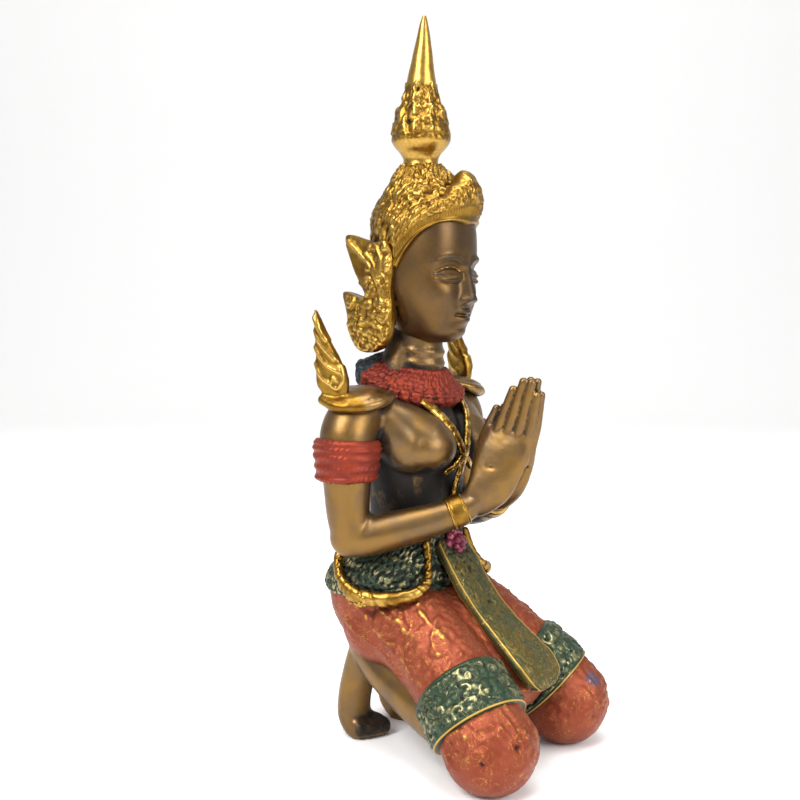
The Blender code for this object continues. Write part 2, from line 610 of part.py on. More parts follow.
def ground_flat(figure):
    """The knees and toes ground off flat where they stand."""
    bm = bmesh.new()
    bm.from_mesh(figure.data)
    every = bm.verts[:] + bm.edges[:] + bm.faces[:]
    ground = {"plane_co": (0, 0, 0), "plane_no": (0, 0, -1)}
    cut = bmesh.ops.bisect_plane(bm, geom=every, dist=1e-7, clear_outer=True, **ground)
    rim = [e for e in cut["geom_cut"] if isinstance(e, bmesh.types.BMEdge)]
    bmesh.ops.holes_fill(bm, edges=rim, sides=0)
    bmesh.ops.triangulate(bm, faces=bm.faces[:])
    bm.to_mesh(figure.data)
    bm.free()


def bronze():
    material = bpy.data.materials.new("bronze")
    material.use_nodes = True
    surface = material.node_tree.nodes["Principled BSDF"]
    surface.inputs["Base Color"].default_value = BRONZE
    surface.inputs["Metallic"].default_value = 0.9
    surface.inputs["Roughness"].default_value = 0.42
    return material


def main():
    for old in list(bpy.data.objects):
        bpy.data.objects.remove(old)
    shapes = [
        *torso(), *neck(), *head(), *arm(), *leg(), *lap(), *collar(), *epaulettes(), *ear_flames(), *crown(), *diadem(),
        *bands(), *waist(), *apron(), *straps(),
    ]
    figure = cast(grown_together(shapes))
    ground_flat(figure)
    figure.data.shade_smooth()
    figure.data.set_sharp_from_angle(angle=math.radians(60))
    figure.data.materials.append(bronze())


main()
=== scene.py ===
"""A kneeling thepphanom angel in cast bronze, with gilt crown and jewels and a red and green painted dress.

It is drawn in the units of the casting, close to millimetres. The figure faces -Y, its right hand is at -X, the
ground is Z = 0 and the spire's axis is X = Y = 0. placed() turns the drawing into metres on the frame.
"""

import math

import bpy
import numpy as np
from mathutils import Matrix, Vector


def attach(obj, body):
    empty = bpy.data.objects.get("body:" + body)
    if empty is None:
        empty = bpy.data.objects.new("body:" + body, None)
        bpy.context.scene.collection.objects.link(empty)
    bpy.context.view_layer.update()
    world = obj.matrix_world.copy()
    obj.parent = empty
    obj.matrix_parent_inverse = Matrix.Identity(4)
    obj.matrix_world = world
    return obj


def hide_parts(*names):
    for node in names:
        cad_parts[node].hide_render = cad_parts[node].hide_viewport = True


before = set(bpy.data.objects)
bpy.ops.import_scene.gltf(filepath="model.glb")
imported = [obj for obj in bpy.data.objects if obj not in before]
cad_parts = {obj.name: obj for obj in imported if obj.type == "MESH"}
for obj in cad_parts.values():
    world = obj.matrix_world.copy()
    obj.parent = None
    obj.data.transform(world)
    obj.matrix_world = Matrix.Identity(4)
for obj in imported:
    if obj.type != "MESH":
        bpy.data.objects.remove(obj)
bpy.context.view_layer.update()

NODE = "thepphanom_figure"

# Driving sizes: the figure's height in metres, and the same height in the drawing
HEIGHT = 0.230
TIP = 231.3
UNIT = HEIGHT / TIP
# The middle of the base lies this far in front of the spire's axis
AXIS_BACK = 12.8
TAU = 2 * math.pi

# How fine each mesh is: sides and steps of a grid, or the voxel and the rounds of smoothing of a fused skin
GRID = {
    "head": (204, 136), "collar": (430, 66), "spire": (130, 200), "crown_dome": (260, 118), "diadem": (86, 370),
    "arm_bands": (180, 58), "bracelets": (110, 32), "knee_bands": (240, 80), "green_belt": (380, 74),
    "swags": (34, 160), "apron": (170, 160), "straps": (26, 100),
}
SKIN = {
    "bronze_body": (0.72, 3), "joined_hands": (0.43, 3), "legs": (0.8, 3), "red_trousers": (0.7, 2),
    "epaulettes": (0.44, 3), "ear_flames": (0.41, 2),
}


def placed(points):
    """Drawing units to metres, with the spire's axis moved back to its place over the base."""
    return (points + (0, AXIS_BACK, 0)) * UNIT


# Curves and surfaces

def unit(vectors):
    """Each vector at length one."""
    return vectors / np.maximum(np.linalg.norm(vectors, axis=-1, keepdims=True), 1e-9)


def bell(x, width):
    """One at x = 0, fading over width: e to the power of minus (x / width) squared."""
    return np.exp(-((x / width) ** 2))


def ramp(x, low, high):
    """Zero below low, one above high, an S curve between."""
    t = np.clip((x - low) / (high - low), 0, 1)
    return t * t * (3 - 2 * t)


def window(x, low, high, rise, fall):
    """One from low to high, with an S curve up over rise inside low and one down over fall inside high."""
    return ramp(x, low, low + rise) * ramp(high - x, 0, fall)


def wave(angle):
    """From one to zero and back as the angle goes once round: half of one plus the cosine."""
    return 0.5 + 0.5 * np.cos(angle)


def off_middle(x):
    """How far x is past the middle of its whole-number step, from -0.5 to 0.5."""
    return np.mod(x, 1) - 0.5


def round_the(sides):
    """Angles once round, one for each side."""
    return np.linspace(0, TAU, sides, endpoint=False)


def length_along(line):
    """How far along a line each of its points is: the steps between points, added up."""
    return np.cumsum(np.linalg.norm(np.gradient(line, axis=0), axis=-1), axis=0)


def through(rows, count):
    """A Catmull-Rom curve through rows of numbers, sampled count times."""
    rows = np.asarray(rows, float)
    padded = np.vstack([2 * rows[0] - rows[1], rows, 2 * rows[-1] - rows[-2]])
    at = np.linspace(0, len(rows) - 1, count)
    span = np.minimum(at.astype(int), len(rows) - 2)
    t = (at - span)[:, None]
    a, b, c, d = (padded[span + k] for k in range(4))
    return 0.5 * (2 * b + (c - a) * t + (2 * a - 5 * b + 4 * c - d) * t**2 + (3 * b - a - 3 * c + d) * t**3)


def superellipse(turn, power):
    """Side and front shares of a profile at each turn from the front: a circle at power 2, squarer above it."""
    side = np.sign(np.sin(turn)) * np.abs(np.sin(turn)) ** (2 / power)
    front = np.sign(np.cos(turn)) * np.abs(np.cos(turn)) ** (2 / power)
    return side, front


def rounded_ends(rows, steps=14):
    """Rows of centre, half width and half depth, with a domed end added at each end."""
    def cap(end, before):
        away = unit(end[:3] - before[:3]) * min(end[3], end[4])
        turns = np.linspace(0, math.pi / 2, steps + 1)[1:]
        turns[-1] -= 0.05
        return np.array([[*(end[:3] + away * math.sin(t)), *(end[3:] * math.cos(t))] for t in turns])
    return np.vstack([cap(rows[0], rows[1])[::-1], rows, cap(rows[-1], rows[-2])])


def limb(rows, side=(1, 0, 0), sides=96, steps=140, power=2.0, ends=True):
    """A superellipse carried along a path. Each row is x, y, z, half width along side, half depth across it."""
    rows = through(rows, steps)
    if ends:
        rows = rounded_ends(rows)
    along = unit(np.gradient(rows[:, :3], axis=0))
    across = unit(np.cross(along, np.asarray(side, float)))
    wide = unit(np.cross(across, along))
    turn = round_the(sides)
    v, u = superellipse(turn, power)
    rings = rows[:, None, :3] + wide[:, None] * (u[None, :, None] * rows[:, 3, None, None])
    return rings + across[:, None] * (v[None, :, None] * rows[:, 4, None, None])


def stack(rows, sides=200, steps=200, power=2.2):
    """Level rings one above another. Each row is z, half width, half depth, y of the middle."""
    rows = through(rows, steps)
    side, front = superellipse(round_the(sides), power)
    x = rows[:, 1, None] * side
    y = rows[:, 3, None] - rows[:, 2, None] * front
    return np.stack([x, y, np.repeat(rows[:, :1], sides, 1)], -1)


def turned(profile, sides=240, steps=200):
    """A turned shape round an upright axis. Each row of the profile is radius, z, y of the middle."""
    rows = through(profile, steps)
    turn = round_the(sides)
    x = rows[:, :1] * np.sin(turn)
    y = rows[:, 2:] - rows[:, :1] * np.cos(turn)
    return np.stack([x, y, np.repeat(rows[:, 1:2], sides, 1)], -1)


def ball(middle, size, sides=96, steps=64, droop=0.0):
    """An ellipsoid, its lower half fuller by droop."""
    up = np.linspace(-math.pi / 2 + 0.03, math.pi / 2 - 0.03, steps)
    turn = round_the(sides)
    level = np.sin(up)[:, None] * np.ones(sides)
    reach = np.cos(up)[:, None] * (1 - droop * level)
    x = middle[0] + size[0] * reach * np.sin(turn)
    y = middle[1] - size[1] * reach * np.cos(turn)
    return np.stack([x, y, middle[2] + size[2] * level], -1)


def plate(outline, thick, place, lean=0.0, steps=220, rim=0.55):
    """A leaf with a closed outline of (forward, up) points, crowned to thick at its middle. It stands at place
    in the Y-Z plane, turned about Z by lean radians."""
    edge = through(np.vstack([outline, outline[:1]]), steps + 1)[:-1]
    middle = edge.mean(0)
    shares = np.array([1, 0.97, 0.86, 0.6, 0.3, 0.04])
    crowns = np.array([rim, rim, 0.8, 1.0, 1.05, 1.06])
    levels = [(s, -c) for s, c in zip(shares[::-1], crowns[::-1])] + list(zip(shares, crowns))
    rings = []
    for share, crown in levels:
        flat = middle + (edge - middle) * share
        x = thick * crown * math.cos(lean) - flat[:, 0] * math.sin(lean)
        y = -thick * crown * math.sin(lean) - flat[:, 0] * math.cos(lean)
        rings.append(np.stack([place[0] + x, place[1] + y, place[2] + flat[:, 1]], -1))
    return np.array(rings)


def flat_place(points, place, lean):
    """Forward and up of points, in the plane of a plate at place."""
    forward = -(points[:, 0] - place[0]) * math.sin(lean) - (points[:, 1] - place[1]) * math.cos(lean)
    return np.stack([forward, points[:, 2] - place[2]], -1)


def mirrored(rings):
    """The same rings on the figure's other side."""
    other = rings[:, ::-1].copy()
    other[..., 0] *= -1
    return other


def paired(shapes):
    """Shapes, each followed by its mirror image."""
    return [one for rings in shapes for one in (rings, mirrored(rings))]


def paired_relief(carved):
    """Shapes with how raised they are, each followed by its mirror image."""
    return [one for rings, raised in carved for one in ((rings, raised), (mirrored(rings), raised[:, ::-1]))]


def one_side(points):
    """Points with X made positive, so that one side's lines and spots serve both."""
    return np.abs(points[:, :1]) * (1, 0, 0) + points * (0, 1, 1)


def spot(points, middle, radius):
    """A bell of the distance from a place."""
    return bell(np.linalg.norm(points - middle, axis=1), radius)


def spots(points, middles, radius):
    """A bell of the distance from the nearest of several places."""
    return np.max([spot(points, middle, radius) for middle in middles], axis=0)


def turn_of(rings):
    """The angle of points round Z, from the front."""
    return np.arctan2(rings[..., 0], -rings[..., 1])


def share_grids(rings):
    """Turn round the rings and share along them, each from 0 to 1, on the rings' grid."""
    count, sides = rings.shape[:2]
    along = np.linspace(0, 1, count)[:, None] * np.ones(sides)
    around = np.ones((count, 1)) * np.arange(sides) / sides
    return around, along


def with_poles(values):
    """Values on a grid as a list for its mesh, with zero at both poles."""
    return np.concatenate([values.ravel(), [0, 0]])


def outward(rings):
    """Unit normals of rings: the cross product of the steps round and along them, pointing outward."""
    along = np.gradient(rings, axis=0)
    around = np.roll(rings, -1, 1) - np.roll(rings, 1, 1)
    normal = unit(np.cross(around, along))
    away = rings - rings.mean(1, keepdims=True)
    return normal * np.sign((normal * away).sum())


def pushed(rings, height):
    """Rings moved out along their normals by height."""
    return rings + outward(rings) * height[..., None]


# Carved patterns: each gives a height from 0 to 1

def random_at(*places, seed=0):
    """A number from 0 to 1 for each whole-number place, by multiplying and folding its bits."""
    odd = np.uint64(0x9E3779B97F4A7C15)
    bits = np.full(np.broadcast(*places).shape, seed + 1, np.int64).astype(np.uint64) * odd
    for place in places:
        bits = (bits ^ np.asarray(place, np.int64).astype(np.uint64)) * odd
        bits = bits ^ (bits >> np.uint64(31))
    return (bits >> np.uint64(11)).astype(float) / 2.0**53


def lumps(points, size, seed=0, octaves=3):
    """Value noise: random heights at the corners of cubes, blended between. Each octave has half the size and
    height of the one before."""
    total = 0
    weight = 0
    for octave in range(octaves):
        at = points / size * 2**octave
        whole = np.floor(at)
        t = ramp(at - whole, 0, 1)
        value = 0
        for corner in np.ndindex(2, 2, 2):
            share = np.prod(np.where(corner, t, 1 - t), axis=-1)
            places = [whole[..., k] + corner[k] for k in range(3)]
            value = value + share * random_at(*places, seed=seed + octave)
        total = total + value / 2**octave
        weight += 0.5**octave
    return total / weight


def uneven(points, size, seed=0):
    """Value noise about zero."""
    return lumps(points, size, seed) - 0.5


def cells(u, v, seed, jitter=0.34, wrap=None):
    """Nearest of a jittered grid of points, one in each unit square: its distance, angle and random number, and
    how much further the next one is. With wrap, the squares repeat after that many in u."""
    first = np.full(u.shape, 9.0)
    second = first.copy()
    angle = np.zeros(u.shape)
    pick = np.zeros(u.shape)
    for du in (-1, 0, 1):
        for dv in (-1, 0, 1):
            iu = np.floor(u) + du
            iv = np.floor(v) + dv
            name = np.mod(iu, wrap) if wrap else iu
            pu = iu + 0.5 + jitter * (2 * random_at(name, iv, seed=seed) - 1)
            pv = iv + 0.5 + jitter * (2 * random_at(name, iv, seed=seed + 11) - 1)
            away = np.hypot(u - pu, v - pv)
            nearer = away < first
            second = np.where(nearer, first, np.minimum(second, away))
            angle = np.where(nearer, np.arctan2(v - pv, u - pu), angle)
            pick = np.where(nearer, random_at(name, iv, seed=seed + 23), pick)
            first = np.where(nearer, away, first)
    return first, angle, pick, second - first


def scrolls(u, v, seed=0, turns=2.3, wrap=None):
    """Curled tendrils: in each cell a ridge winds round a bud, either way by chance, up to the border."""
    away, angle, pick, gap = cells(u, v, seed, wrap=wrap)
    hand = np.where(pick < 0.5, -1, 1)
    ridge = wave(angle * hand + pick * 40 - TAU * turns * away) ** 1.4
    return np.maximum(ridge * ramp(gap, 0.02, 0.2), bell(away, 0.13))


def beads(u, v, seed=0, jitter=0.12, wrap=None, size=0.52):
    """Round beads, one in each cell: the height of a sphere over the cell's middle."""
    away, _, pick, _ = cells(u, v, seed, jitter, wrap)
    reach = size * (0.8 + 0.35 * pick)
    return np.sqrt(np.clip(1 - (away / reach) ** 2, 0, 1))


def on_skin(points, normals, pattern):
    """A flat pattern of two lengths laid on a skin from three sides, each where the skin faces that side."""
    facing = np.abs(normals) ** 6
    facing = facing / facing.sum(-1, keepdims=True)
    x, y, z = points[..., 0], points[..., 1], points[..., 2]
    front = pattern(x, z, 0) * facing[..., 1]
    return front + pattern(y, z, 1) * facing[..., 0] + pattern(x, y, 2) * facing[..., 2]


def line_distance(flat, line, steps=60):
    """Distance from flat points to a smooth line through a few (forward, up) points."""
    path = through(line, steps)
    start = path[:-1]
    step = path[1:] - start
    nearest = np.full(len(flat), 99.0)
    for a, s in zip(start, step):
        t = np.clip(((flat - a) @ s) / (s @ s), 0, 1)
        nearest = np.minimum(nearest, np.linalg.norm(flat - a - t[:, None] * s, axis=1))
    return nearest


def carved_lines(flat, lines, width):
    """Rounded ridges along lines: a bell of the distance to the nearest of them."""
    return np.max([bell(line_distance(flat, line), width) for line in lines], axis=0)


def petals(turn, z, low, high, count, shift=0.0):
    """A ring of pointed leaves: each leaf's width falls to nothing at its tip, with a rib down its middle."""
    up = np.clip((z - low) / (high - low), 0, 1)
    across = off_middle(turn / TAU * count + shift)
    half = 0.5 * np.clip(1 - up**1.7, 0, 1) ** 0.8 + 1e-4
    leaf = np.sqrt(np.clip(1 - (across / half) ** 2, 0, 1))
    inside = (z > low) & (z < high)
    return inside * leaf * (0.75 + 0.25 * bell(across, 0.1)) * ramp(z, low, low + 0.6)


# Meshes

def shell(rings):
    """Points and faces of a closed mesh over rings, with a point in the middle of each end, faces outward."""
    count, sides = rings.shape[:2]
    points = np.vstack([rings.reshape(-1, 3), rings[0].mean(0), rings[-1].mean(0)])
    ring, side = np.meshgrid(np.arange(count - 1), np.arange(sides), indexing="ij")
    a = (ring * sides + side).ravel()
    b = (ring * sides + (side + 1) % sides).ravel()
    quads = np.stack([a, b, b + sides, a + sides], -1)
    around = np.arange(sides)
    after = (around + 1) % sides
    top = (count - 1) * sides
    first = np.stack([after, around, np.full(sides, count * sides)], -1)
    last = np.stack([around + top, after + top, np.full(sides, count * sides + 1)], -1)
    corners = points[quads]
    inside = np.einsum("ij,ij->", corners[:, 0], np.cross(corners[:, 1], corners[:, 2]))
    inside += np.einsum("ij,ij->", corners[:, 0], np.cross(corners[:, 2], corners[:, 3]))
    faces = [quads, first, last]
    return points, (faces if inside > 0 else [f[:, ::-1] for f in faces])


def mesh_of(name, shapes):
    """One mesh over several shapes of rings, in drawing units."""
    points = []
    quads = []
    caps = []
    start = 0
    for rings in shapes:
        own, faces = shell(rings)
        points.append(own)
        quads.append(faces[0] + start)
        caps.extend(f + start for f in faces[1:])
        start += len(own)
    quads = np.vstack(quads)
    caps = np.vstack(caps)
    corners = np.concatenate([quads.ravel(), caps.ravel()]).astype(np.int32)
    starts = np.concatenate([np.arange(len(quads)) * 4, quads.size + np.arange(len(caps)) * 3]).astype(np.int32)
    mesh = bpy.data.meshes.new(name)
    mesh.vertices.add(start)
    mesh.vertices.foreach_set("co", np.vstack(points).astype(np.float32).ravel())
    mesh.loops.add(len(corners))
    mesh.loops.foreach_set("vertex_index", corners)
    mesh.polygons.add(len(starts))
    mesh.polygons.foreach_set("loop_start", starts)
    mesh.update(calc_edges=True)
    return mesh


def fused(name, shapes):
    """Several shapes grown into one skin: a voxel grid takes their outside, then its corners are smoothed."""
    voxel, rounds = SKIN[name]
    solid = bpy.data.objects.new(name, mesh_of(name, shapes))
    bpy.context.scene.collection.objects.link(solid)
    skin = solid.modifiers.new("skin", "REMESH")
    skin.mode = "VOXEL"
    skin.voxel_size = voxel
    ease = solid.modifiers.new("ease", "SMOOTH")
    ease.factor = 0.5
    ease.iterations = rounds
    whole = bpy.data.meshes.new_from_object(solid.evaluated_get(bpy.context.evaluated_depsgraph_get()))
    bpy.data.objects.remove(solid)
    return whole


def read(items, name, width, kind=np.float64):
    """One property of all a mesh's items, as an array."""
    values = np.empty(len(items) * width, kind)
    items.foreach_get(name, values)
    return values.reshape(-1, width) if width > 1 else values


def eased(values, edges, rounds):
    """Rows of values drawn half way to the mean of their neighbours along the edges, rounds times."""
    count = len(values)
    a, b = edges.T
    degree = np.maximum(np.bincount(edges.ravel(), minlength=count), 1)
    for _ in range(rounds):
        sums = [np.bincount(a, part[b], count) + np.bincount(b, part[a], count) for part in values.T]
        values = 0.5 * values + 0.5 * np.stack(sums, -1) / degree[:, None]
    return values


def given(values, points):
    """Values at points, from a function of them, a list or one number."""
    return values(points) if callable(values) else values + np.zeros(len(points))


PIECES = []
# How far off its neighbours a point is: rounds of easing them, and the gain on it
BEND_ROUNDS = 6
BEND_GAIN = 1.5
# The most that a point can be raised, or darkened with patina and painted shade
FULLY_RAISED = 1.3
FULLY_PATINA_AND_SHADE = 1.4
# How far round a point other skin darkens it: a corner with patina and painted shade, a broader place with
# painted shade
CORNER_REACH = 2.2
SHADE_REACH = 6.0


def piece(name, mesh, material, relief=None, raised=0.0, rub=0.0, dark=0.0, coat=0.0, fine=1.0, shade=1.0):
    """Keeps a finished mesh. relief(points, normals) gives heights to carve and how raised each point is, and
    rub is how much a standing edge adds to that. dark gives patina and painted shade at points, and coat a
    second paint. fine scales the patina in small hollows, and shade the painted shade with patina where skins
    crowd. Nothing goes below the ground."""
    count = len(mesh.vertices)
    points = read(mesh.vertices, "co", 3)
    if relief is not None:
        normals = read(mesh.vertex_normals, "vector", 3)
        height, raised = relief(points, normals)
        points = points + normals * height[:, None]
    points[:, 2] = np.maximum(points[:, 2], 0)
    mesh.vertices.foreach_set("co", points.astype(np.float32).ravel())
    mesh.update()
    normals = read(mesh.vertex_normals, "vector", 3)
    edges = read(mesh.edges, "vertices", 2, np.int32)
    bend = ((eased(points, edges, BEND_ROUNDS) - points) * normals).sum(-1) * BEND_GAIN
    length = np.linalg.norm(points[edges[:, 0]] - points[edges[:, 1]], axis=1).mean()
    bend = eased(bend[:, None], edges, 2)[:, 0] / length
    totals = read(mesh.polygons, "loop_total", 1, np.int32)
    area = np.repeat(read(mesh.polygons, "area", 1) / totals, totals)
    area = np.bincount(read(mesh.loops, "vertex_index", 1, np.int32), area, count)
    PIECES.append({
        "name": name, "mesh": mesh, "material": material, "shade": shade,
        "points": points, "normals": normals, "area": area,
        "raised": np.clip(raised + rub * np.clip(-bend, 0, 1), 0, FULLY_RAISED),
        "hollow": fine * np.clip(bend * 1.6 - 0.06, 0, 1),
        "dark": given(dark, points), "coat": given(coat, points),
    })


def skin_piece(name, shapes, material, **how):
    """A piece fused from shapes."""
    piece(name, fused(name, shapes), material, **how)


def grid_piece(name, carved, material, **how):
    """A piece from (rings, raised) pairs. Each pole takes the mean of the raised values next to it."""
    raised = [np.concatenate([r.ravel(), [r[0].mean(), r[-1].mean()]]) for _, r in carved]
    piece(name, mesh_of(name, [rings for rings, _ in carved]), material, raised=np.concatenate(raised), **how)


def crowding(reach):
    """How much skin lies near each place: its area in each unit cube, blurred by a bell of reach units."""
    low = np.array([-56.0, -62.0, -12.0])
    shape = np.array([112, 124, 256])
    field = np.zeros(shape.prod())
    for part in PIECES:
        at = np.clip((part["points"] - low).astype(int), 0, shape - 1)
        field += np.bincount(np.ravel_multi_index(at.T, shape), part["area"], shape.prod())
    waves = np.fft.rfftn(field.reshape(shape))
    for axis, size in enumerate(shape):
        rate = np.fft.rfftfreq(size) if axis == 2 else np.fft.fftfreq(size)
        fade = np.exp(-2 * (math.pi * reach * rate) ** 2)
        waves = waves * fade.reshape([-1 if k == axis else 1 for k in range(3)])
    field = np.fft.irfftn(waves, s=tuple(shape))
    plain = math.exp(-0.5) / (reach * math.sqrt(TAU))

    def sample(points, normals):
        """The crowding one reach out from a skin, where a flat skin alone gives 1."""
        at = points + normals * reach - low - 0.5
        whole = np.clip(np.floor(at).astype(int), 0, shape - 2)
        t = np.clip(at - whole, 0, 1)
        value = 0
        for corner in np.ndindex(2, 2, 2):
            share = np.prod(np.where(corner, t, 1 - t), axis=-1)
            value = value + share * field[tuple((whole + corner).T)]
        return value / plain
    return sample


def finish_pieces():
    """Gives every piece its patina and painted shade, its attributes and its object."""
    near = crowding(CORNER_REACH)
    wide = crowding(SHADE_REACH)
    for part in PIECES:
        mesh = part["mesh"]
        close = near(part["points"], part["normals"])
        broad = wide(part["points"], part["normals"])
        open_air = max(1.0, np.percentile(close, 25))
        # Painted shade with patina: darker in corners that other skin crowds close round, and broadly where
        # much skin lies near
        crowd_patina_and_shade = part["shade"] * (0.5 * ramp(close / open_air, 1.25, 2.6) + 0.55 * ramp(broad, 1.7, 3.2))
        hollow = np.clip(part["hollow"] + crowd_patina_and_shade + part["dark"], 0, FULLY_PATINA_AND_SHADE)
        for name, values in (("raised", part["raised"]), ("hollow", hollow), ("coat", part["coat"])):
            layer = mesh.attributes.new(name, "FLOAT", "POINT")
            layer.data.foreach_set("value", values.astype(np.float32))
        mesh.vertices.foreach_set("co", placed(part["points"]).astype(np.float32).ravel())
        mesh.shade_smooth()
        mesh.update()
        mesh.materials.append(part["material"])
        made = bpy.data.objects.new(part["name"], mesh)
        bpy.context.scene.collection.objects.link(made)
        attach(made, "root")
        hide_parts(NODE)


# Materials

def linear(hex_colour):
    """An sRGB hex colour as linear red, green, blue, alpha."""
    parts = [int(hex_colour[k:k + 2], 16) / 255 for k in (1, 3, 5)]
    return (*(p / 12.92 if p <= 0.04045 else ((p + 0.055) / 1.055) ** 2.4 for p in parts), 1.0)


def add(tree, kind, inputs=None, **settings):
    """Adds a node with its settings. An input given a socket is linked to it, any other gets the value."""
    node = tree.nodes.new(kind)
    for name, value in settings.items():
        setattr(node, name, value)
    for name, value in (inputs or {}).items():
        if isinstance(value, bpy.types.NodeSocket):
            tree.links.new(value, node.inputs[name])
        else:
            node.inputs[name].default_value = value
    return node


def per_mm(size):
    """A texture's scale on coordinates in metres, for features of size millimetres."""
    return 1000.0 / size


# Pits of the cast surface, in millimetres
PIT_SIZE = 0.45


def cast_finish(
    name, body, body_2, hollow, rub, metallic, rough, rub_rough, rub_from=0.5, rub_to=1.0, hollow_from=0.3,
    hollow_to=1.0, patch=5.0, other=None, bump=0.10, hollow_metal=0.4, speck=0.28, gloss=0.5, scribble=None,
):
    """A finish on cast relief: paint or patina in two shades in patches of patch mm, the hollow colour for
    patina in the hollows and for painted shade in corners and under things, metal rubbed bright on what stands
    out, and other where a second paint is laid. speck is how much pits break these up, bump their depth in mm,
    and hollow_metal how metallic the patina and painted shade leave the surface. scribble is the spacing in mm
    of thin wandering lines in the rub colour, and how wide they are."""
    material = bpy.data.materials.new(name)
    material.use_nodes = True
    tree = material.node_tree
    surface = tree.nodes["Principled BSDF"]
    where = add(tree, "ShaderNodeTexCoord").outputs["Object"]
    names = ("raised", "hollow", "coat")
    raised, deep, second = (add(tree, "ShaderNodeAttribute", attribute_name=n).outputs["Fac"] for n in names)

    def noise(size, detail=4.0, spread=0.0):
        return add(tree, "ShaderNodeTexNoise", {
            "Vector": where, "Scale": per_mm(size), "Detail": detail, "Roughness": 0.6, "Distortion": spread,
        }).outputs["Fac"]

    def mask(value, low, high):
        return add(tree, "ShaderNodeMapRange", {"Value": value, "From Min": low, "From Max": high},
                   interpolation_type="SMOOTHSTEP").outputs["Result"]

    def maths(kind, a, b, c=0.0):
        return add(tree, "ShaderNodeMath", {0: a, 1: b, 2: c}, operation=kind).outputs[0]

    def blend(share, a, b):
        return add(tree, "ShaderNodeMix", {0: share, 6: a, 7: b}, data_type="RGBA").outputs[2]

    specks = noise(PIT_SIZE * 2.2, 6.0)
    colour = blend(mask(noise(patch), 0.38, 0.64), linear(body), linear(body_2))
    if other:
        colour = blend(mask(second, 0.35, 0.65), colour, linear(other))
    broken = maths("MULTIPLY_ADD", specks, speck * 2, -speck)
    rubbed = mask(maths("ADD", raised, broken), rub_from, rub_to)
    if scribble:
        spacing, width = scribble
        bends = maths("MULTIPLY", noise(spacing * 2.2, 2.0, 1.6), 9.0)
        line = mask(maths("PINGPONG", bends, 0.5), width, 0.0)
        line = maths("MULTIPLY", line, mask(noise(spacing * 1.3, 3.0), 0.42, 0.56))
        rubbed = maths("MAXIMUM", rubbed, maths("MULTIPLY", line, 0.65))
    colour = blend(rubbed, colour, linear(rub))
    # Patina in the hollows and painted shade in corners and under things, from the hollow attribute, mottled by
    # noise
    mottled_patina_and_shade = maths("ADD", deep, maths("MULTIPLY_ADD", noise(patch * 0.35, 5.0), 0.5, -0.25))
    patina_and_shade_mask = mask(maths("ADD", mottled_patina_and_shade, maths("MULTIPLY", broken, 0.6)), hollow_from, hollow_to)
    tree.links.new(blend(patina_and_shade_mask, colour, linear(hollow)), surface.inputs["Base Color"])
    shine = maths("MULTIPLY_ADD", rubbed, rub_rough - rough, rough)
    shine = maths("ADD", shine, maths("MULTIPLY_ADD", specks, 0.2, -0.1))
    shine = maths("ADD", shine, maths("MULTIPLY", patina_and_shade_mask, 0.22))
    tree.links.new(shine, surface.inputs["Roughness"])
    metal = maths("MULTIPLY_ADD", rubbed, 1.0 - metallic, metallic)
    metal = maths("MULTIPLY", metal, maths("MULTIPLY_ADD", patina_and_shade_mask, hollow_metal - 1.0, 1.0))
    tree.links.new(metal, surface.inputs["Metallic"])
    surface.inputs["Specular IOR Level"].default_value = gloss
    rise = maths("ADD", maths("MULTIPLY", noise(PIT_SIZE * 6, 5.0, 0.4), 0.6), maths("MULTIPLY", specks, 0.4))
    lifted = add(tree, "ShaderNodeBump", {"Height": rise, "Strength": 0.6, "Distance": bump * 0.001})
    tree.links.new(lifted.outputs["Normal"], surface.inputs["Normal"])
    return material


# Satin cast bronze, left brown and waxed: a soft brown gold, black where polish never reached, and the
# same black as painted shade in corners and under the bust
BRONZE = cast_finish(
    "satin_cast_bronze", "#7d5f34", "#6c563c", "#140d09", "#b38c50", 0.95, 0.38, 0.30,
    hollow_from=0.32, hollow_to=0.95, patch=11.0, bump=0.09, speck=0.4,
)
# The same bronze, painted darker over the whole head as painted shade for the face
SHADED_FACE_BRONZE = cast_finish(
    "face_bronze_with_painted_shade", "#644b2b", "#584530", "#241910", "#a08354", 0.95, 0.38, 0.30,
    patch=9.0, bump=0.04,
)
# Gold paint over cast relief: yellow metal, brown in the hollows, bronze where the paint is worn off
GILT = cast_finish(
    "gilt_cast_relief", "#866628", "#74531e", "#2c1b09", "#bd974c", 1.0, 0.35, 0.27, patch=6.0, bump=0.08,
    hollow_metal=0.85, other="#80653f",
)
# Red bronze paint, dry-brushed with gold: an orange red with a metal gleam, maroon below, grey where thin
RED = cast_finish(
    "red_bronze_paint", "#84402a", "#7b3723", "#32100b", "#b0803f", 0.55, 0.48, 0.38, rub_from=0.6, patch=8.0,
    bump=0.12, gloss=0.25, other="#5a4a5c", scribble=(3.4, 0.12),
)
# Bright red enamel paint on the neck band and arm bands, with green-black paint at the nape
BRIGHT_RED = cast_finish(
    "bright_red_paint", "#7e2e1b", "#70281d", "#2a0d0a", "#ad6c42", 0.55, 0.46, 0.38, rub_from=0.62, rub_to=1.1,
    hollow_from=0.35, hollow_to=0.95, other="#1d2b31", gloss=0.3,
)
# Green paint, nearly black in the hollows, dry-brushed with ivory gold
GREEN = cast_finish(
    "dark_green_paint", "#283a29", "#303a27", "#070b08", "#969068", 0.4, 0.42, 0.34, rub_from=0.6, rub_to=0.95,
    hollow_to=0.9, other="#b08c40", gloss=0.3, scribble=(4.0, 0.1),
)
# Olive green paint on the long panel, thin and yellow where gold size shows through
OLIVE = cast_finish(
    "olive_green_paint", "#46482c", "#5b4e24", "#16150c", "#b39a52", 0.55, 0.42, 0.34, rub_from=0.6,
    hollow_to=0.95, patch=9.0, other="#b08c40", gloss=0.3, scribble=(4.5, 0.12),
)
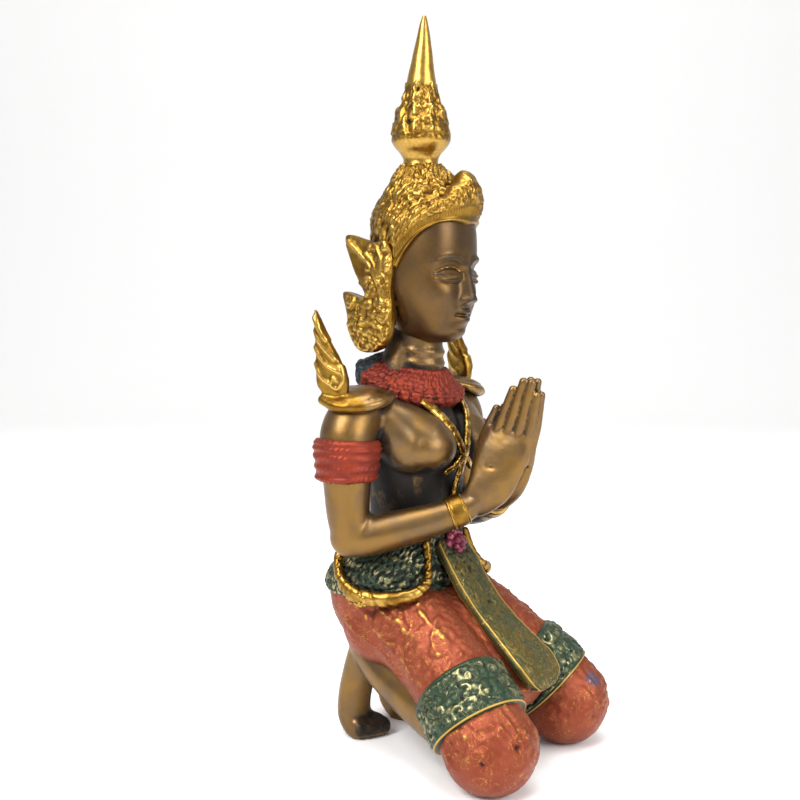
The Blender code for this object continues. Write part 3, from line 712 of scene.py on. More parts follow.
# Magenta paint on the flower at the waist
MAGENTA = cast_finish(
    "magenta_paint", "#6b2036", "#5c1d2e", "#1c0810", "#b37078", 0.5, 0.38, 0.32, rub_from=0.75, rub_to=1.1,
    hollow_to=0.8, patch=3.0, bump=0.06, gloss=0.35,
)


# The body. Rows of a stack are z, half width, half depth, y of the middle

TORSO = [
    (52, 22, 16, 4.5), (60, 19, 14.5, 3.4), (66, 16.8, 13.2, 2.6), (72, 16.2, 13.0, 2.2),
    (80, 17.2, 13.6, 2.0), (88, 19.2, 13.6, 1.8), (96, 21.2, 13.2, 1.8), (102, 22.6, 12.2, 2.2),
    (106.5, 22.0, 11.2, 3.0), (110, 17.6, 10.4, 3.4), (113.5, 12.4, 9.4, 3.0), (118, 9.2, 8.2, 1.4),
]
BREAST = (10.4, -8.6, 98.6)
BREAST_SIZE = (10.4, 9.8, 8.6)
BREAST_DROOP = 0.12
NECK = [(0, 1.6, 113, 9, 8.6), (0, 0.6, 121, 7.9, 7.9), (0, 0.8, 128, 7.8, 7.8), (0, 1.5, 136, 8.4, 8.4)]
SHOULDER_SLOPE = [
    (2.6, 4.2, 131, 5.4, 5.2), (6.0, 4.8, 122.6, 5.4, 5.6), (10.6, 5.2, 115.2, 5.2, 6.2),
    (16.0, 5.2, 111, 5.6, 6.4),
]
NECK_FOLDS = (120.6, 124.2, 127.8)
NECK_RADIUS = 7.9
FOLD_TILT = 0.16
ARM = [
    (22, 4.8, 105.0, 7.6, 7.6), (27.5, 5.2, 106.6, 8.6, 8.4), (31.2, 5.2, 103, 8.7, 8.5),
    (32, 5.2, 97, 8.4, 8.3), (32.1, 5.2, 88, 7.3, 7.3), (32.2, 4.8, 79, 6.6, 6.6),
    (31.8, 3.6, 71.8, 6.2, 6.3),
]
FOREARM = [
    (31.8, 4.4, 71.4, 6.2, 6.2), (28.8, 0.0, 71.8, 6.2, 6.2), (22, -8.4, 74.0, 5.8, 5.9),
    (15, -16.6, 76.8, 5.0, 5.1), (9.8, -22.2, 79.6, 4.4, 4.7), (7.6, -24.6, 81.4, 3.9, 4.6),
]
WRIST_SHARE = 0.76
PALM = [
    (8.2, -23.0, 80.2, 3.4, 3.8), (7.2, -26.2, 82.4, 4.4, 5.2), (5.9, -29.4, 87, 4.4, 6.8),
    (4.6, -31.2, 93, 3.8, 8.0), (3.8, -32.6, 98, 3.1, 8.1), (3.0, -33.8, 103, 2.0, 7.4),
]
# Fingers: base y, base z, tip y, tip z, middle x, half width
FINGERS = [
    (-27.4, 95.5, -35.4, 116.4, 3.0, 1.8), (-31.2, 95.5, -38.8, 118.8, 2.9, 1.85),
    (-35.0, 95.0, -41.4, 118.6, 2.7, 1.75), (-38.4, 94.0, -43.0, 114.8, 2.3, 1.6),
]
FINGER_CORE = [(0.9, -31.8, 96, 1.2, 6.2), (0.9, -35.4, 106, 1.1, 5.6), (0.8, -38.8, 114.4, 0.9, 3.8)]
BUST_SLOPE = [(18.5, -1.0, 108.6, 5.6, 4.8), (15.0, -5.0, 105.0, 7.2, 6.4), (11.6, -8.2, 100.6, 8.6, 8.4)]
BUST_SIDE = [(20.5, -0.4, 106.5, 5.4, 5.6), (18.6, -3.4, 101.0, 6.2, 7.4), (15.4, -6.2, 97.4, 7.4, 7.6)]
BREASTBONE = [(0, -4.5, 109, 7, 5), (0, -8.6, 101, 6, 5.4), (0, -9.6, 93, 5, 4.4)]
NICK = (-8.6, -31.1, 93.1)
THUMB = [
    (3.2, -23.6, 89, 2.2, 2.0), (2.9, -24.2, 96, 2.1, 1.8), (2.5, -26.8, 104, 1.9, 1.6),
    (2.2, -29.6, 110.4, 1.4, 1.2),
]
HAND_BACK_Y = -24.0
HAND_TAPER = 0.028


def neck_fold(z):
    """A ring round the neck, lower at the front."""
    turn = np.linspace(0, TAU * 0.999, 160)
    ahead = NECK_RADIUS * np.cos(turn)
    half = 0 * turn + 0.6
    rows = [NECK_RADIUS * np.sin(turn), 0.6 - ahead, z - FOLD_TILT * ahead, half, half]
    return limb(np.stack(rows, -1), side=(0, 0, 1), sides=16, steps=160, ends=False)


def belly_patina_and_shade(points):
    """Painted shade with patina: black where arms and bust shade the belly and the flanks, worn through to
    brown in upright streaks.
    """
    x, y, z = points.T
    side = np.abs(x)
    inside = ramp(28 - side, 0, 3) * window(z, 62, 94, 4, 5) * ramp(y, -15.5, -12.5)
    forearm = ramp(side, 17.4, 19.0) * ramp(83 - z, 0, 3)
    under = window(z, 86, 95.5, 4, 4) * ramp(24 - side, 0, 3)
    cleft = bell(x, 4.5) * window(z, 90, 112, 4, 5) * ramp(-y, 6, 9)
    streaks = ramp(lumps(points * (1.0, 1.0, 0.4), 3.2, 31), 0.4, 0.62)
    worn = 1 - 0.55 * streaks * ramp(26 - side, 0, 4)
    front = ramp(11.5 - y, 0, 4)
    return 0.85 * np.clip(np.maximum(inside, under) - forearm, 0, 1) * worn * front + 0.4 * cleft


def forearm_rows():
    """The forearm's rows up to the bracelet, and from there on."""
    rows = through(FOREARM, 100)
    cut = int(100 * WRIST_SHARE)
    return rows[:cut], rows[cut - 2:]


def body():
    """Torso, neck, arms and forearms as one skin."""
    arms = [limb(ARM, sides=96, steps=150), limb(forearm_rows()[0], side=(0, 0, 1), sides=90, steps=120)]
    bust = [ball(BREAST, BREAST_SIZE, droop=BREAST_DROOP)]
    bust += [limb(rows) for rows in (BUST_SLOPE, BUST_SIDE, SHOULDER_SLOPE)]
    shapes = [stack(TORSO), limb(NECK), *(neck_fold(z) for z in NECK_FOLDS)]
    shapes += paired(arms + bust) + [limb(BREASTBONE)]
    skin_piece("bronze_body", shapes, BRONZE, rub=0.5, dark=belly_patina_and_shade, shade=0.75)


def hand_taper(rings):
    """Brings the points of a hand nearer to X = 0, the further forward of the thumbs' line they are."""
    out = rings.copy()
    forward = np.clip(HAND_BACK_Y - rings[..., 1] - 0.33 * (rings[..., 2] - 88), 0, 16)
    out[..., 0] *= 1.06 - HAND_TAPER * forward
    return out


def finger_patina(points):
    """Black along the grooves between the fingers and in the nick on the back of the hand."""
    y, z = points[:, 1], points[:, 2]
    grooves = 0.2 * window(z, 97, 118, 6, 3)
    return grooves + 0.8 * spot(points, NICK, 0.9) + 0.25 * ramp(z + 0.5 * y, 96, 99)


def hand_relief(points, normals):
    """Slight unevenness and a nick: a bell of the distance to its middle."""
    nick = bell(np.linalg.norm((points - NICK) * (1, 0.7, 1.2), axis=1), 0.9)
    return 0.3 * uneven(points, 5.0, 17) - 0.7 * nick, 0 * nick


def hands():
    """Palms, fingers and wrists, pressed together."""
    shapes = [limb(PALM, sides=90, steps=80, power=2.4), limb(FINGER_CORE, sides=60, steps=50, power=3)]
    for y0, z0, y1, z1, x, half in FINGERS:
        bowed = (x, (y0 + y1) / 2 - 0.35, (z0 + z1) / 2, 2.05, half * 0.97)
        rows = [(x, y0, z0, 2.2, half), bowed, (x * 0.8, y1, z1, 1.5, half * 0.72)]
        shapes.append(limb(rows, sides=48, steps=60))
    shapes.append(limb(THUMB, sides=48, steps=60))
    shapes = [hand_taper(s) for s in shapes]
    shapes.append(limb(forearm_rows()[1], side=(0, 0, 1), sides=80, steps=50))
    look = {"relief": hand_relief, "rub": 0.6, "dark": finger_patina, "fine": 1.5, "shade": 0.6}
    skin_piece("joined_hands", paired(shapes), BRONZE, **look)


# The head. Each row is z, half width, depth to the front, depth to the back, from HEAD_Y
HEAD_Y = -1.5
HEAD = [
    (130.0, 4.6, 9.4, 2.0), (131.5, 7.2, 11.8, 5.0), (134, 9.4, 13.0, 8.0), (138, 11.6, 14.0, 11.0),
    (143, 13.4, 14.8, 13.5), (148, 14.5, 15.2, 15.2), (154, 15.0, 15.6, 16.0), (160, 14.8, 16.0, 16.0),
    (166, 14.2, 15.6, 15.6), (172, 13.0, 13.8, 14.4),
]
# Face: each feature sits at a height taken from thirds of the face between hairline and chin
CHIN_Z = 130.0
HAIRLINE_Z = 166.5
THIRD = (HAIRLINE_Z - CHIN_Z) / 3
BROW_Z = HAIRLINE_Z - THIRD
NOSE_Z = CHIN_Z + THIRD
MOUTH_Z = CHIN_Z + THIRD * 0.69
EYE_Z = BROW_Z - THIRD * 0.30
EYE_X = 6.7
EYE_HALF = 4.9


def face_relief(x, z):
    """How far the face stands out from the plain head at side place x and height z: a sum of bells and slopes
    for nose, brows, sockets, half-closed eyes, lips, chin and cheeks."""
    x = np.abs(x)
    up = z - NOSE_Z
    slope = np.clip(1 - (up - 1.6) / 12.5, 0, 1)
    bridge = (0.8 + 3.3 * slope) * ramp(up, -1.7, 1.5) * ramp(BROW_Z + 3.5 - z, 0, 4.5)
    nose = bridge * bell(x, 1.5 + 0.8 * slope) + 1.3 * bell(x - 2.1, 1.1) * bell(up - 0.7, 1.5)
    arch = BROW_Z - 0.8 + 2.6 * np.sin(np.clip((x - 0.6) / 11.0, 0, 1) * math.pi * 0.86)
    brow = 0.95 * bell(z - arch, 1.0) * window(x, 0.6, 12.4, 1.4, 3.0)
    socket = -1.9 * bell(x - EYE_X + 0.6, 4.4) * bell(z - EYE_Z - 0.8, 2.9)
    side = (x - EYE_X) / EYE_HALF
    level = z - EYE_Z
    eyeball = 1.9 * np.clip(1 - side**2 - (level / 2.6) ** 2, 0, 1) ** 0.6
    crease = -0.45 * bell(level - 2.5 + 1.5 * side**2, 0.45)
    parting = -0.5 * bell(level + 0.9 - 0.8 * side**2, 0.32)
    lids = 0.35 * bell(level + 0.1 - 0.8 * side**2, 0.4) + 0.3 * bell(level + 2.0 - side**2, 0.5)
    eye = socket + eyeball + (crease + parting + lids) * ramp(1.15 - np.abs(side), 0, 0.3)
    mouth = z - MOUTH_Z - 0.35 * (x / 4) ** 2
    lips = 1.1 * bell(x, 5.0) * bell(z - MOUTH_Z, 3.6) + 1.1 * bell(x, 3.3) * bell(mouth - 1.25, 1.0)
    lips = lips + 1.3 * bell(x, 2.7) * bell(mouth + 1.4, 1.15)
    grooves = -0.3 * bell(x, 0.7) * bell(z - MOUTH_Z - 3.0, 1.1)
    grooves = grooves - 0.6 * bell(x, 4.5) * bell(z - MOUTH_Z + 3.9, 1.2)
    closed = -0.75 * bell(mouth, 0.45) * ramp(4.9 - x, 0, 1.4)
    chin = 1.4 * bell(x, 4.4) * bell(z - CHIN_Z - 3.4, 2.8)
    cheek = 0.9 * bell(x - 8.0, 4.4) * bell(z - NOSE_Z - 1.6, 5.2)
    return nose + brow + eye + lips + grooves + closed + chin + cheek


def head():
    """The head: level superellipses, deeper to the front or the back, with the face raised on them. Their
    points stand closer together at the front."""
    sides, steps = GRID["head"]
    rows = through(HEAD, steps)
    turn = round_the(sides)
    turn = turn - 0.42 * np.sin(turn)
    side, front = superellipse(turn, 2.5)
    depth = np.where(front[None] > 0, rows[:, 2, None], rows[:, 3, None])
    x = rows[:, 1, None] * side
    z = np.repeat(rows[:, :1], sides, 1)
    out = unit(np.stack([side[None] / rows[:, 1, None], -front[None] / depth, 0 * z], -1))
    relief = face_relief(x, z) * np.clip(front[None] * 2.2, 0, 1)
    rings = np.stack([x, HEAD_Y - depth * front, z], -1) + out * relief[..., None]
    grid_piece("head", [(rings, 0 * z)], SHADED_FACE_BRONZE, rub=0.9, fine=0.9, shade=0.3)


# Hips, thighs and lower legs
HIPS = [
    (28, 10, 7, 6), (32, 18, 12.5, 6.6), (37, 22.5, 16, 7), (43, 25.5, 18.6, 7.3), (50, 26.8, 19.6, 7.3),
    (56, 26, 18.8, 6.8), (61, 24, 17, 5.6), (65, 20.5, 15, 4.2), (69, 16.5, 13, 2.6),
]
THIGH = [
    (12.2, 5, 41.5, 14.0, 15), (13.4, -6, 40.2, 13.6, 14.6), (16.4, -18, 33.4, 13.2, 13.8),
    (20.0, -29, 25.2, 13.2, 13.2), (23.0, -37.2, 17.4, 13.6, 13.6), (23.8, -40.6, 13.4, 14.2, 14.2),
]
WEB = [(0, -4, 45, 15, 10.4), (0, -16, 40.2, 15, 10.4), (0, -27, 31.6, 15, 9.4), (0, -35.5, 24.4, 14, 7.6)]
SHIN = [
    (23, -36, 16.5, 10, 10), (21.8, -26, 17.6, 9.4, 9.6), (19, -14, 20.0, 8.4, 8.4),
    (15.4, 0, 24.6, 7.6, 7.4), (12.6, 9.5, 29.4, 6.6, 6.8), (11.6, 14, 33.4, 5.8, 5.8),
]
FOOT = [
    (11.4, 10.6, 38, 5.6, 5.8), (11.4, 12.6, 32, 5.6, 5.8), (11.4, 15.8, 23, 5.4, 5.6),
    (11.4, 18.2, 14, 5.5, 5.4), (11.4, 18.6, 7, 5.8, 5.2), (11.4, 16.8, 3.4, 5.8, 4.6),
]
TOES = 5
TOE_SPREAD = 8.8
TOE_BACK = 15.6
TOE_FRONT = 9.2


def foot_painted_shade(points):
    """Painted shade: black in front of the foot's brown back edge and round the toes, with a cloudy border."""
    _, y, z = points.T
    cloud = 3.0 * (lumps(points, 4.0, 19) - 0.5)
    ahead = ramp(16.8 - y + cloud, 0, 4.5) * ramp(13.5 - z + cloud, 0, 8)
    return 0.85 * ahead * ramp(z, 0.6, 2.2)


def legs():
    """Shins, feet and toes."""
    shapes = [limb(SHIN, sides=90, steps=120), limb(FOOT, sides=80, steps=100)]
    for k in range(TOES):
        share = k / (TOES - 1)
        x = FOOT[-1][0] + TOE_SPREAD * (share - 0.5)
        front = TOE_FRONT + 3.4 * share**1.6
        half = 2.0 - 0.6 * share
        middle = (x, (TOE_BACK + front) / 2, 3.2, half, half + 1.8)
        rows = [(x, TOE_BACK, 3.2, half, half + 2.0), middle, (x, front, 3.0, half, half + 1.0)]
        shapes.append(limb(rows, sides=40, steps=30))
    skin_piece("legs", paired(shapes), BRONZE, rub=0.5, dark=foot_painted_shade, shade=0.5)


# Raised lines on the cloth of each thigh, as (forward, up): folds, a leaf, and a curl on the knee's outer side
THIGH_LINES = [
    [
        (-9, 50), (-4.1, 47.4), (-1.1, 44.1), (2.3, 41.6), (5.7, 39.9), (9.5, 39.2), (12.7, 36.8), (15.3, 33.6),
        (18.6, 30.8),
    ],
    [(10.5, 54), (12.1, 52.5), (14.8, 48.9), (21.2, 44.8), (26.9, 41.4)],
    [(4, 54), (7, 48), (11, 44.5), (17, 42)], [(-12, 44), (-7, 40.5), (-1, 37.6), (6, 34), (11, 30)],
    [(0, 50), (5, 46.5), (8.5, 46), (9, 48.6), (6.6, 49.2)], [(20, 47), (22, 42), (25.5, 38.6)],
]
LEAF = [(10.8, 48.6), (13.4, 45.6), (15.8, 42.6)]
KNEE_CURL_MIDDLE = (38.4, 16.6)
KNEE_TURN = np.linspace(0, 1, 15)
KNEE_CURL = [
    (KNEE_CURL_MIDDLE[0] + radius * math.cos(turn), KNEE_CURL_MIDDLE[1] + radius * math.sin(turn))
    for radius, turn in zip(1.2 + 4.6 * KNEE_TURN, 2.2 + 8.6 * KNEE_TURN)
]
# Ribs on each knee: side place and lowest height
KNEE_RIBS = [(x, 20 - 0.6 * abs(x - 25)) for x in (20.5, 23.2, 25.6, 28.2, 31.0)]
KNEE_PITS = [(29.3, -53.0, 17.7), (36.8, -45.7, 13.6), (18.5, -54.2, 12.0)]
# Bruises of purple-grey where the paint is rubbed thin: middle and size
BRUISES = [((-34.7, -26.8, 25.4), 3.4), ((22.4, -50.5, 22.0), 3.6)]


def trouser_relief(points, normals):
    """Scrolls over thighs and hips, with folds, a leaf and a curl along lines, and low ribs on each knee."""
    large = on_skin(points, normals, lambda a, b, k: scrolls(a / 7.0, (b + 0.4 * a) / 7.0, k + 3, 2.2))
    small = on_skin(points, normals, lambda a, b, k: scrolls(a / 3.8, (b - 0.3 * a) / 3.8, k + 9, 1.7))
    near = one_side(points)
    flat = np.stack([-points[:, 1], points[:, 2]], -1)
    outer = ramp(near[:, 0], 17, 20) * ramp(np.sign(points[:, 0]) * normals[:, 0], -0.1, 0.25)
    folds = carved_lines(flat, THIGH_LINES, 0.5) * outer
    leaf = ramp(1.5 - line_distance(flat, LEAF), 0, 1.4) * outer
    curl = carved_lines(flat, [KNEE_CURL], 0.75) * ramp(near[:, 0], 30, 33)
    ribs = [bell(near[:, 0] - x, 0.6) * ramp(points[:, 2], low - 8, low) for x, low in KNEE_RIBS]
    ribs = np.max(ribs, axis=0)
    ribs = ribs * ramp(-points[:, 1], 39, 43) * ramp(normals[:, 2], 0.1, 0.4)
    rough = uneven(points, 4.0, 4)
    carved = np.clip(0.6 * large + 0.4 * small, 0, 1) * (0.3 + 0.7 * ramp(normals[:, 2], -0.4, 0.1))
    height = 0.65 * carved + 0.45 * rough + 0.6 * folds + 0.6 * leaf + 0.8 * curl + 0.4 * ribs
    raised = 0.85 * carved**1.4 + 0.62 * folds + 0.2 * leaf + 0.35 * ribs + 0.25 * curl + 0.3 * rough
    return height - spots(near, KNEE_PITS, 0.9), raised


def knee_stains(points):
    """Dark pits on the knees and maroon inside the curl on each knee's outer side."""
    near = one_side(points)
    from_curl = np.hypot(points[:, 1] + KNEE_CURL_MIDDLE[0], points[:, 2] - KNEE_CURL_MIDDLE[1])
    curl = ramp(5.2 - from_curl, 0, 1.5) * ramp(near[:, 0], 31, 34)
    return 0.7 * spots(near, KNEE_PITS, 1.2) + 0.1 * curl


def bruised(points):
    """Where the paint is rubbed thin, in cloudy spots."""
    thin = np.max([spot(points, middle, radius) for middle, radius in BRUISES], axis=0)
    return thin * (0.5 + lumps(points, 2.0, 23))


def trousers():
    """The cloth over hips, thighs and knees."""
    shapes = [stack(HIPS), limb(WEB, power=2.6), *paired([limb(THIGH, sides=130, steps=160)])]
    look = {"relief": trouser_relief, "dark": knee_stains, "coat": bruised, "fine": 0.6, "shade": 0.4}
    skin_piece("red_trousers", shapes, RED, **look)


# Jewels

COLLAR = [
    # half width, half depth, z, how far it drops at the front
    (7.2, 7.2, 121.4, 0), (8.6, 8.6, 122.8, 2.0), (12.6, 11.4, 122.2, 4.2), (16.6, 13.8, 120.8, 6.4),
    (18.8, 14.8, 119.4, 6.8), (18.4, 14.4, 115.8, 5.8), (12, 9, 112, 5), (7.2, 7, 112, 0),
]
COLLAR_Y = 3.2
COLLAR_LIFT = 3.6
COLLAR_POINTS = 26


def collar():
    """The neck band: a ring whose profile drops at the front, with curls on its face and a toothed edge."""
    sides, steps = GRID["collar"]
    rows = through(COLLAR, steps)
    turn = round_the(sides)
    level = np.linspace(0, len(COLLAR) - 1, steps)[:, None]
    tooth = np.abs(np.mod(turn / TAU * COLLAR_POINTS, 1) * 2 - 1)
    reach = (1.3 * tooth - 0.4) * np.clip(1.6 - np.abs(level - 4.1), 0, 1)
    x = (rows[:, 0, None] + reach) * np.sin(turn)
    y = COLLAR_Y * (rows[:, 0, None] - 7) / 11.8 + 0.6 - (rows[:, 1, None] + reach) * np.cos(turn)
    z = rows[:, 2, None] - rows[:, 3, None] * wave(turn) ** 1.3
    z = z + COLLAR_LIFT * np.clip(-np.cos(turn) * 1.2, 0, 1) * window(level, 0.2, 5.6, 1.0, 2)
    rings = np.stack([x, y, z], -1)
    length = length_along(rings[:, 0])[:, None] + 0 * x
    around = turn / TAU + 0 * level
    curls = scrolls(around * 34, length / 2.7, 5, 1.6, wrap=34)
    dots = beads(around * 58, length / 1.6, 8, jitter=0.25, wrap=58)
    lip = bell(level - 1.3, 0.22) + bell(level - 3.9, 0.3)
    face = window(level, 0.7, 5.0, 0.5, 0.5)
    carved = np.maximum(curls, 0.85 * dots) * face
    height = 0.6 * carved + 0.35 * lip + 0.5 * uneven(rings, 3.0, 2) * face
    grid_piece("collar", [(pushed(rings, height), 0.75 * carved)], BRIGHT_RED, coat=nape, shade=0.6)


def nape(points):
    """Where the neck band is painted green-black: behind the shoulders."""
    turn = np.abs(np.arctan2(points[:, 0], 3.0 - points[:, 1]))
    return ramp(turn, 1.85, 2.1)


EPAULETTE_PLACE = (36.2, 8.0, 114.8)
EPAULETTE_LEAN = 0.30
EPAULETTE_FLAME = [
    # forward, up
    (0.0, -2.0), (5.0, 0.6), (5.4, 5.5), (2.6, 11.5), (-0.8, 17.5), (-4.0, 24.6), (-5.0, 25.0), (-4.6, 18),
    (-4.4, 10), (-4.0, 3),
]
EPAULETTE_RIBS = [
    [(-4.8, 23.4), (-2.9, 19.4), (-1.0, 16.6)], [(-4.8, 19.6), (-1.8, 14.6), (1.6, 11.0)],
    [(-4.6, 14.6), (-1.0, 9.6), (3.4, 7.0)], [(-4.4, 9.6), (-2.2, 5.6), (0.4, 3.6)],
    [(3.8, 8.6), (4.4, 5), (2.6, 2.2), (0.8, 3.4), (1.4, 5.2), (2.6, 4.6)],
]
EPAULETTE_PAD = [
    (21.5, 3.0, 115.0, 6.4, 1.9), (26, 4.2, 114.9, 8.6, 2.5), (30.5, 5.4, 114.0, 9.0, 2.7),
    (34.5, 6.8, 112.8, 7.2, 2.6),
]
EPAULETTE_RIM = [
    (20.0, -2.4, 115.0, 1.1, 1.3), (24, -4.4, 113.8, 1.6, 1.9), (29, -4.0, 112.6, 1.8, 2.2),
    (33.6, -1.2, 111.6, 1.9, 2.3), (37.0, 4.6, 111.8, 2.0, 2.3), (37.2, 10, 113.6, 1.7, 1.9),
]


def epaulette_relief(points, normals):
    """Ribs that run up the flame and a curl at its foot."""
    near = one_side(points)
    flat = flat_place(near, EPAULETTE_PLACE, EPAULETTE_LEAN)
    ribs = carved_lines(flat, EPAULETTE_RIBS, 0.7) * ramp(points[:, 2], 113, 116) * ramp(near[:, 0], 33, 35)
    rough = uneven(points, 2.4, 6)
    return 0.6 * ribs + 0.4 * rough, 0.25 + 0.6 * ribs + 0.3 * rough


def worn_pad(points):
    """Where the gilding is worn off the pads: their tops, in front of the flames, in cloudy patches."""
    x, _, z = points.T
    top = ramp(35.5 - np.abs(x), 0, 2) * ramp(118.5 - z, 0, 1)
    return top * (0.35 + 0.6 * lumps(points, 4.0, 27))


def epaulettes():
    """The pointed shoulder pieces: a pad, a rolled rim and an upright flame."""
    pad = limb(EPAULETTE_PAD, side=(0, 1, 0), sides=80, steps=60)
    rim = limb(EPAULETTE_RIM, side=(0, 0, 1), sides=48, steps=120)
    flame = plate(EPAULETTE_FLAME, 2.0, EPAULETTE_PLACE, lean=EPAULETTE_LEAN)
    look = {"relief": epaulette_relief, "rub": 0.5, "coat": worn_pad, "fine": 0.8, "shade": 0.5}
    skin_piece("epaulettes", paired([pad, rim, flame]), GILT, **look)


EAR_PLACE = (15.2, 1.4, 126.6)
EAR_LEAN = -0.1
EAR_FLAME = [
    # forward, up
    (-6.2, 0.2), (-1.8, 2.2), (1.0, 7), (1.6, 13), (1.2, 20), (2.0, 29), (-0.6, 35), (-6, 34.6),
    (-17.4, 37.0), (-14.6, 28.6), (-8.6, 19.6), (-11.0, 17.4), (-18.6, 19.2), (-17.4, 12.5), (-15.8, 5.6),
    (-13.4, 1.6), (-10, 0.2),
]
EAR_CURLS = [
    [(-15.5, 35), (-11, 31.5), (-6.5, 27.5), (-3, 22), (-1.5, 16)], [(-8, 31), (-5, 28.5), (-2.6, 24)],
    [(-4, 33), (-2, 30), (-1.4, 26), (-3.4, 24.5), (-4.6, 26.5)],
]


def ear_relief(points, normals):
    """Close curls over the lower lobe and the root of the upper one, smooth on the upper tip and the edge."""
    flat = flat_place(one_side(points), EAR_PLACE, EAR_LEAN)
    inner = ramp(line_distance(flat, EAR_FLAME + EAR_FLAME[:1], 120), 0.1, 0.8)
    lower = ramp(20.5 - flat[:, 1], 0, 2) * ramp(flat[:, 0], -17.4, -15.6)
    field = np.maximum(lower, ramp(flat[:, 0], -9.5, -6.5))
    inner = inner * ramp(np.abs(normals[:, 0]), 0.05, 0.3)
    curls = scrolls(flat[:, 0] / 4.2, flat[:, 1] / 4.2, 2, 1.5)
    lobes = beads(flat[:, 0] / 2.8, flat[:, 1] / 2.8, 4, jitter=0.34)
    swell = uneven(points, 5.0, 14)
    lines = carved_lines(flat, EAR_CURLS, 0.8)
    carved = np.maximum(np.maximum(curls, 0.9 * lobes) * field, lines) * inner
    return 0.85 * carved + 1.2 * swell * inner, 0.2 + 0.55 * carved + 0.5 * swell


def ear_flames():
    """The two-pointed gilt flames behind the cheeks."""
    shapes = paired([plate(EAR_FLAME, 2.2, EAR_PLACE, lean=EAR_LEAN, steps=400)])
    skin_piece("ear_flames", shapes, GILT, relief=ear_relief, rub=0.5, fine=0.65, shade=0.4)


# Crown

SPIRE = [
    # radius, z, y of the middle
    (6.4, 181.5, 0), (5.9, 184.5, 0), (5.5, 187.0, 0), (6.4, 189, 0), (7.8, 190.6, 0), (8.9, 192.2, 0),
    (9.2, 193.6, 0), (8.8, 196.4, 0), (7.9, 199.4, 0), (7.1, 202.6, 0), (5.9, 204, 0), (5.6, 206.2, 0),
    (4.9, 208.4, 0), (4.8, 210.4, -0.1), (4.0, 214.8, -0.3), (3.1, 219.6, -0.6), (2.2, 224.8, -0.9),
    (1.3, 229.0, -1.1), (0.6, TIP + 0.1, -1.2),
]
DOME = [
    (12.6, 160, -1.2), (14.2, 163, -1.2), (15.0, 167, -1.2), (14.5, 171, -1.3), (13.2, 175, -1.4),
    (11.4, 178.6, -1.3), (9.4, 181.4, -0.9), (7.6, 183.6, -0.5), (6.0, 185.4, 0),
]
CAP_WIDEST = 168.0
CAP_FALL = 2.3
CAP_BACK = 2.2
# Leaves round the spire: low z, high z, how many, height, turn of the ring
SPIRE_LEAVES = [
    (194.6, 199.6, 13, 0.55, 0.0), (197.6, 203.4, 10, 0.7, 0.5), (201.6, 207.6, 8, 0.7, 0.2),
    (205.4, 211.0, 6, 0.5, 0.7),
]
# Old casting pits in the spire: turn from the front, z, radius
SPIRE_PITS = [(-1.18, 208.4, 0.8), (-1.48, 202.8, 0.9), (-1.45, 198.2, 0.8)]
# The spire's radius where the pits are
SPIRE_PIT_RADIUS = 6.5


def spire():
    """The turned spire, with rings of leaves on its lower half and the smooth cone above."""
    rings = turned(SPIRE, *GRID["spire"])
    z = rings[..., 2]
    turn = turn_of(rings)
    leaves = np.max([h * petals(turn, z, a, b, n, s) for a, b, n, h, s in SPIRE_LEAVES], axis=0)
    leafy = window(z, 192, 211, 2, 3)
    rough = uneven(rings, 2.4, 5)
    veins = wave(turn * 26 + 5 * lumps(rings, 3.0, 8) + 0.8 * z)
    height = leaves + leafy * (1.2 * rough + 0.16 * veins) + 0.3 * uneven(rings, 5, 2)
    pits = 0
    for at, level, radius in SPIRE_PITS:
        away = (np.mod(turn - at + math.pi, TAU) - math.pi) * SPIRE_PIT_RADIUS
        pits = pits + bell(np.hypot(away, z - level), radius)
    raised = 0.8 - leafy * (0.5 - 0.4 * leaves - 0.5 * rough - 0.1 * veins)
    look = {"rub": 0.5, "dark": with_poles(pits), "fine": 0.7, "shade": 0.15}
    grid_piece("spire", [(pushed(rings, height - 0.8 * pits), raised)], GILT, **look)


def dome():
    """The crown's round cap, covered in curls. It comes down over the back of the head: behind the ears,
    heights below the widest ring are stretched and the lower rings move back."""
    rings = turned(DOME, *GRID["crown_dome"])
    turn = turn_of(rings)
    behind = ramp(np.abs(turn), 1.2, 2.1)
    below = np.clip(CAP_WIDEST - rings[..., 2], 0, None)
    rings[..., 2] -= CAP_FALL * below * behind
    rings[..., 1] += CAP_BACK * behind * ramp(180 - rings[..., 2], 0, 14) * np.clip(np.cos(turn) * -1, 0, 1)
    along = length_along(rings)
    curls = scrolls(turn / TAU * 23, along / 3.9, 1, 1.6, wrap=23)
    dots = beads(turn / TAU * 36, along / 2.5, 6, jitter=0.32, wrap=36)
    rough = uneven(rings, 3.2, 12)
    carved = np.maximum(curls, 0.9 * dots)
    shaped = pushed(rings, 0.8 * carved + 1.5 * rough)
    grid_piece("crown_dome", [(shaped, 0.1 + 0.55 * carved + 0.5 * rough)], GILT, rub=0.5, fine=0.8, shade=0.4)


# The diadem ends this far round from the front, and its pattern is laid out at this radius
DIADEM_END = 1.62
DIADEM_RADIUS = 17
DIADEM_WALL = [
    # distance out from the head's middle, share of the band's height, lean outward at the front
    (11.5, 0.0, 0), (16.0, 0.0, -1.6), (17.2, 0.07, -1.2), (17.4, 0.28, -0.3), (18.2, 0.62, 0.3),
    (17.6, 0.86, -0.4), (15.4, 1.0, -1.0), (11.5, 0.92, 0),
]


def diadem_low(turn):
    """Height of the diadem's lower edge: a peak over the nose, an arch over each brow, then down to the ear."""
    side = np.abs(turn)
    fall = 13.1 * np.clip((side - 0.72) / 0.85, 0, 1) ** 2.0
    return 166.0 + 0.8 * np.sin(np.clip(side / 0.95, 0, 1) * math.pi) ** 1.4 - fall


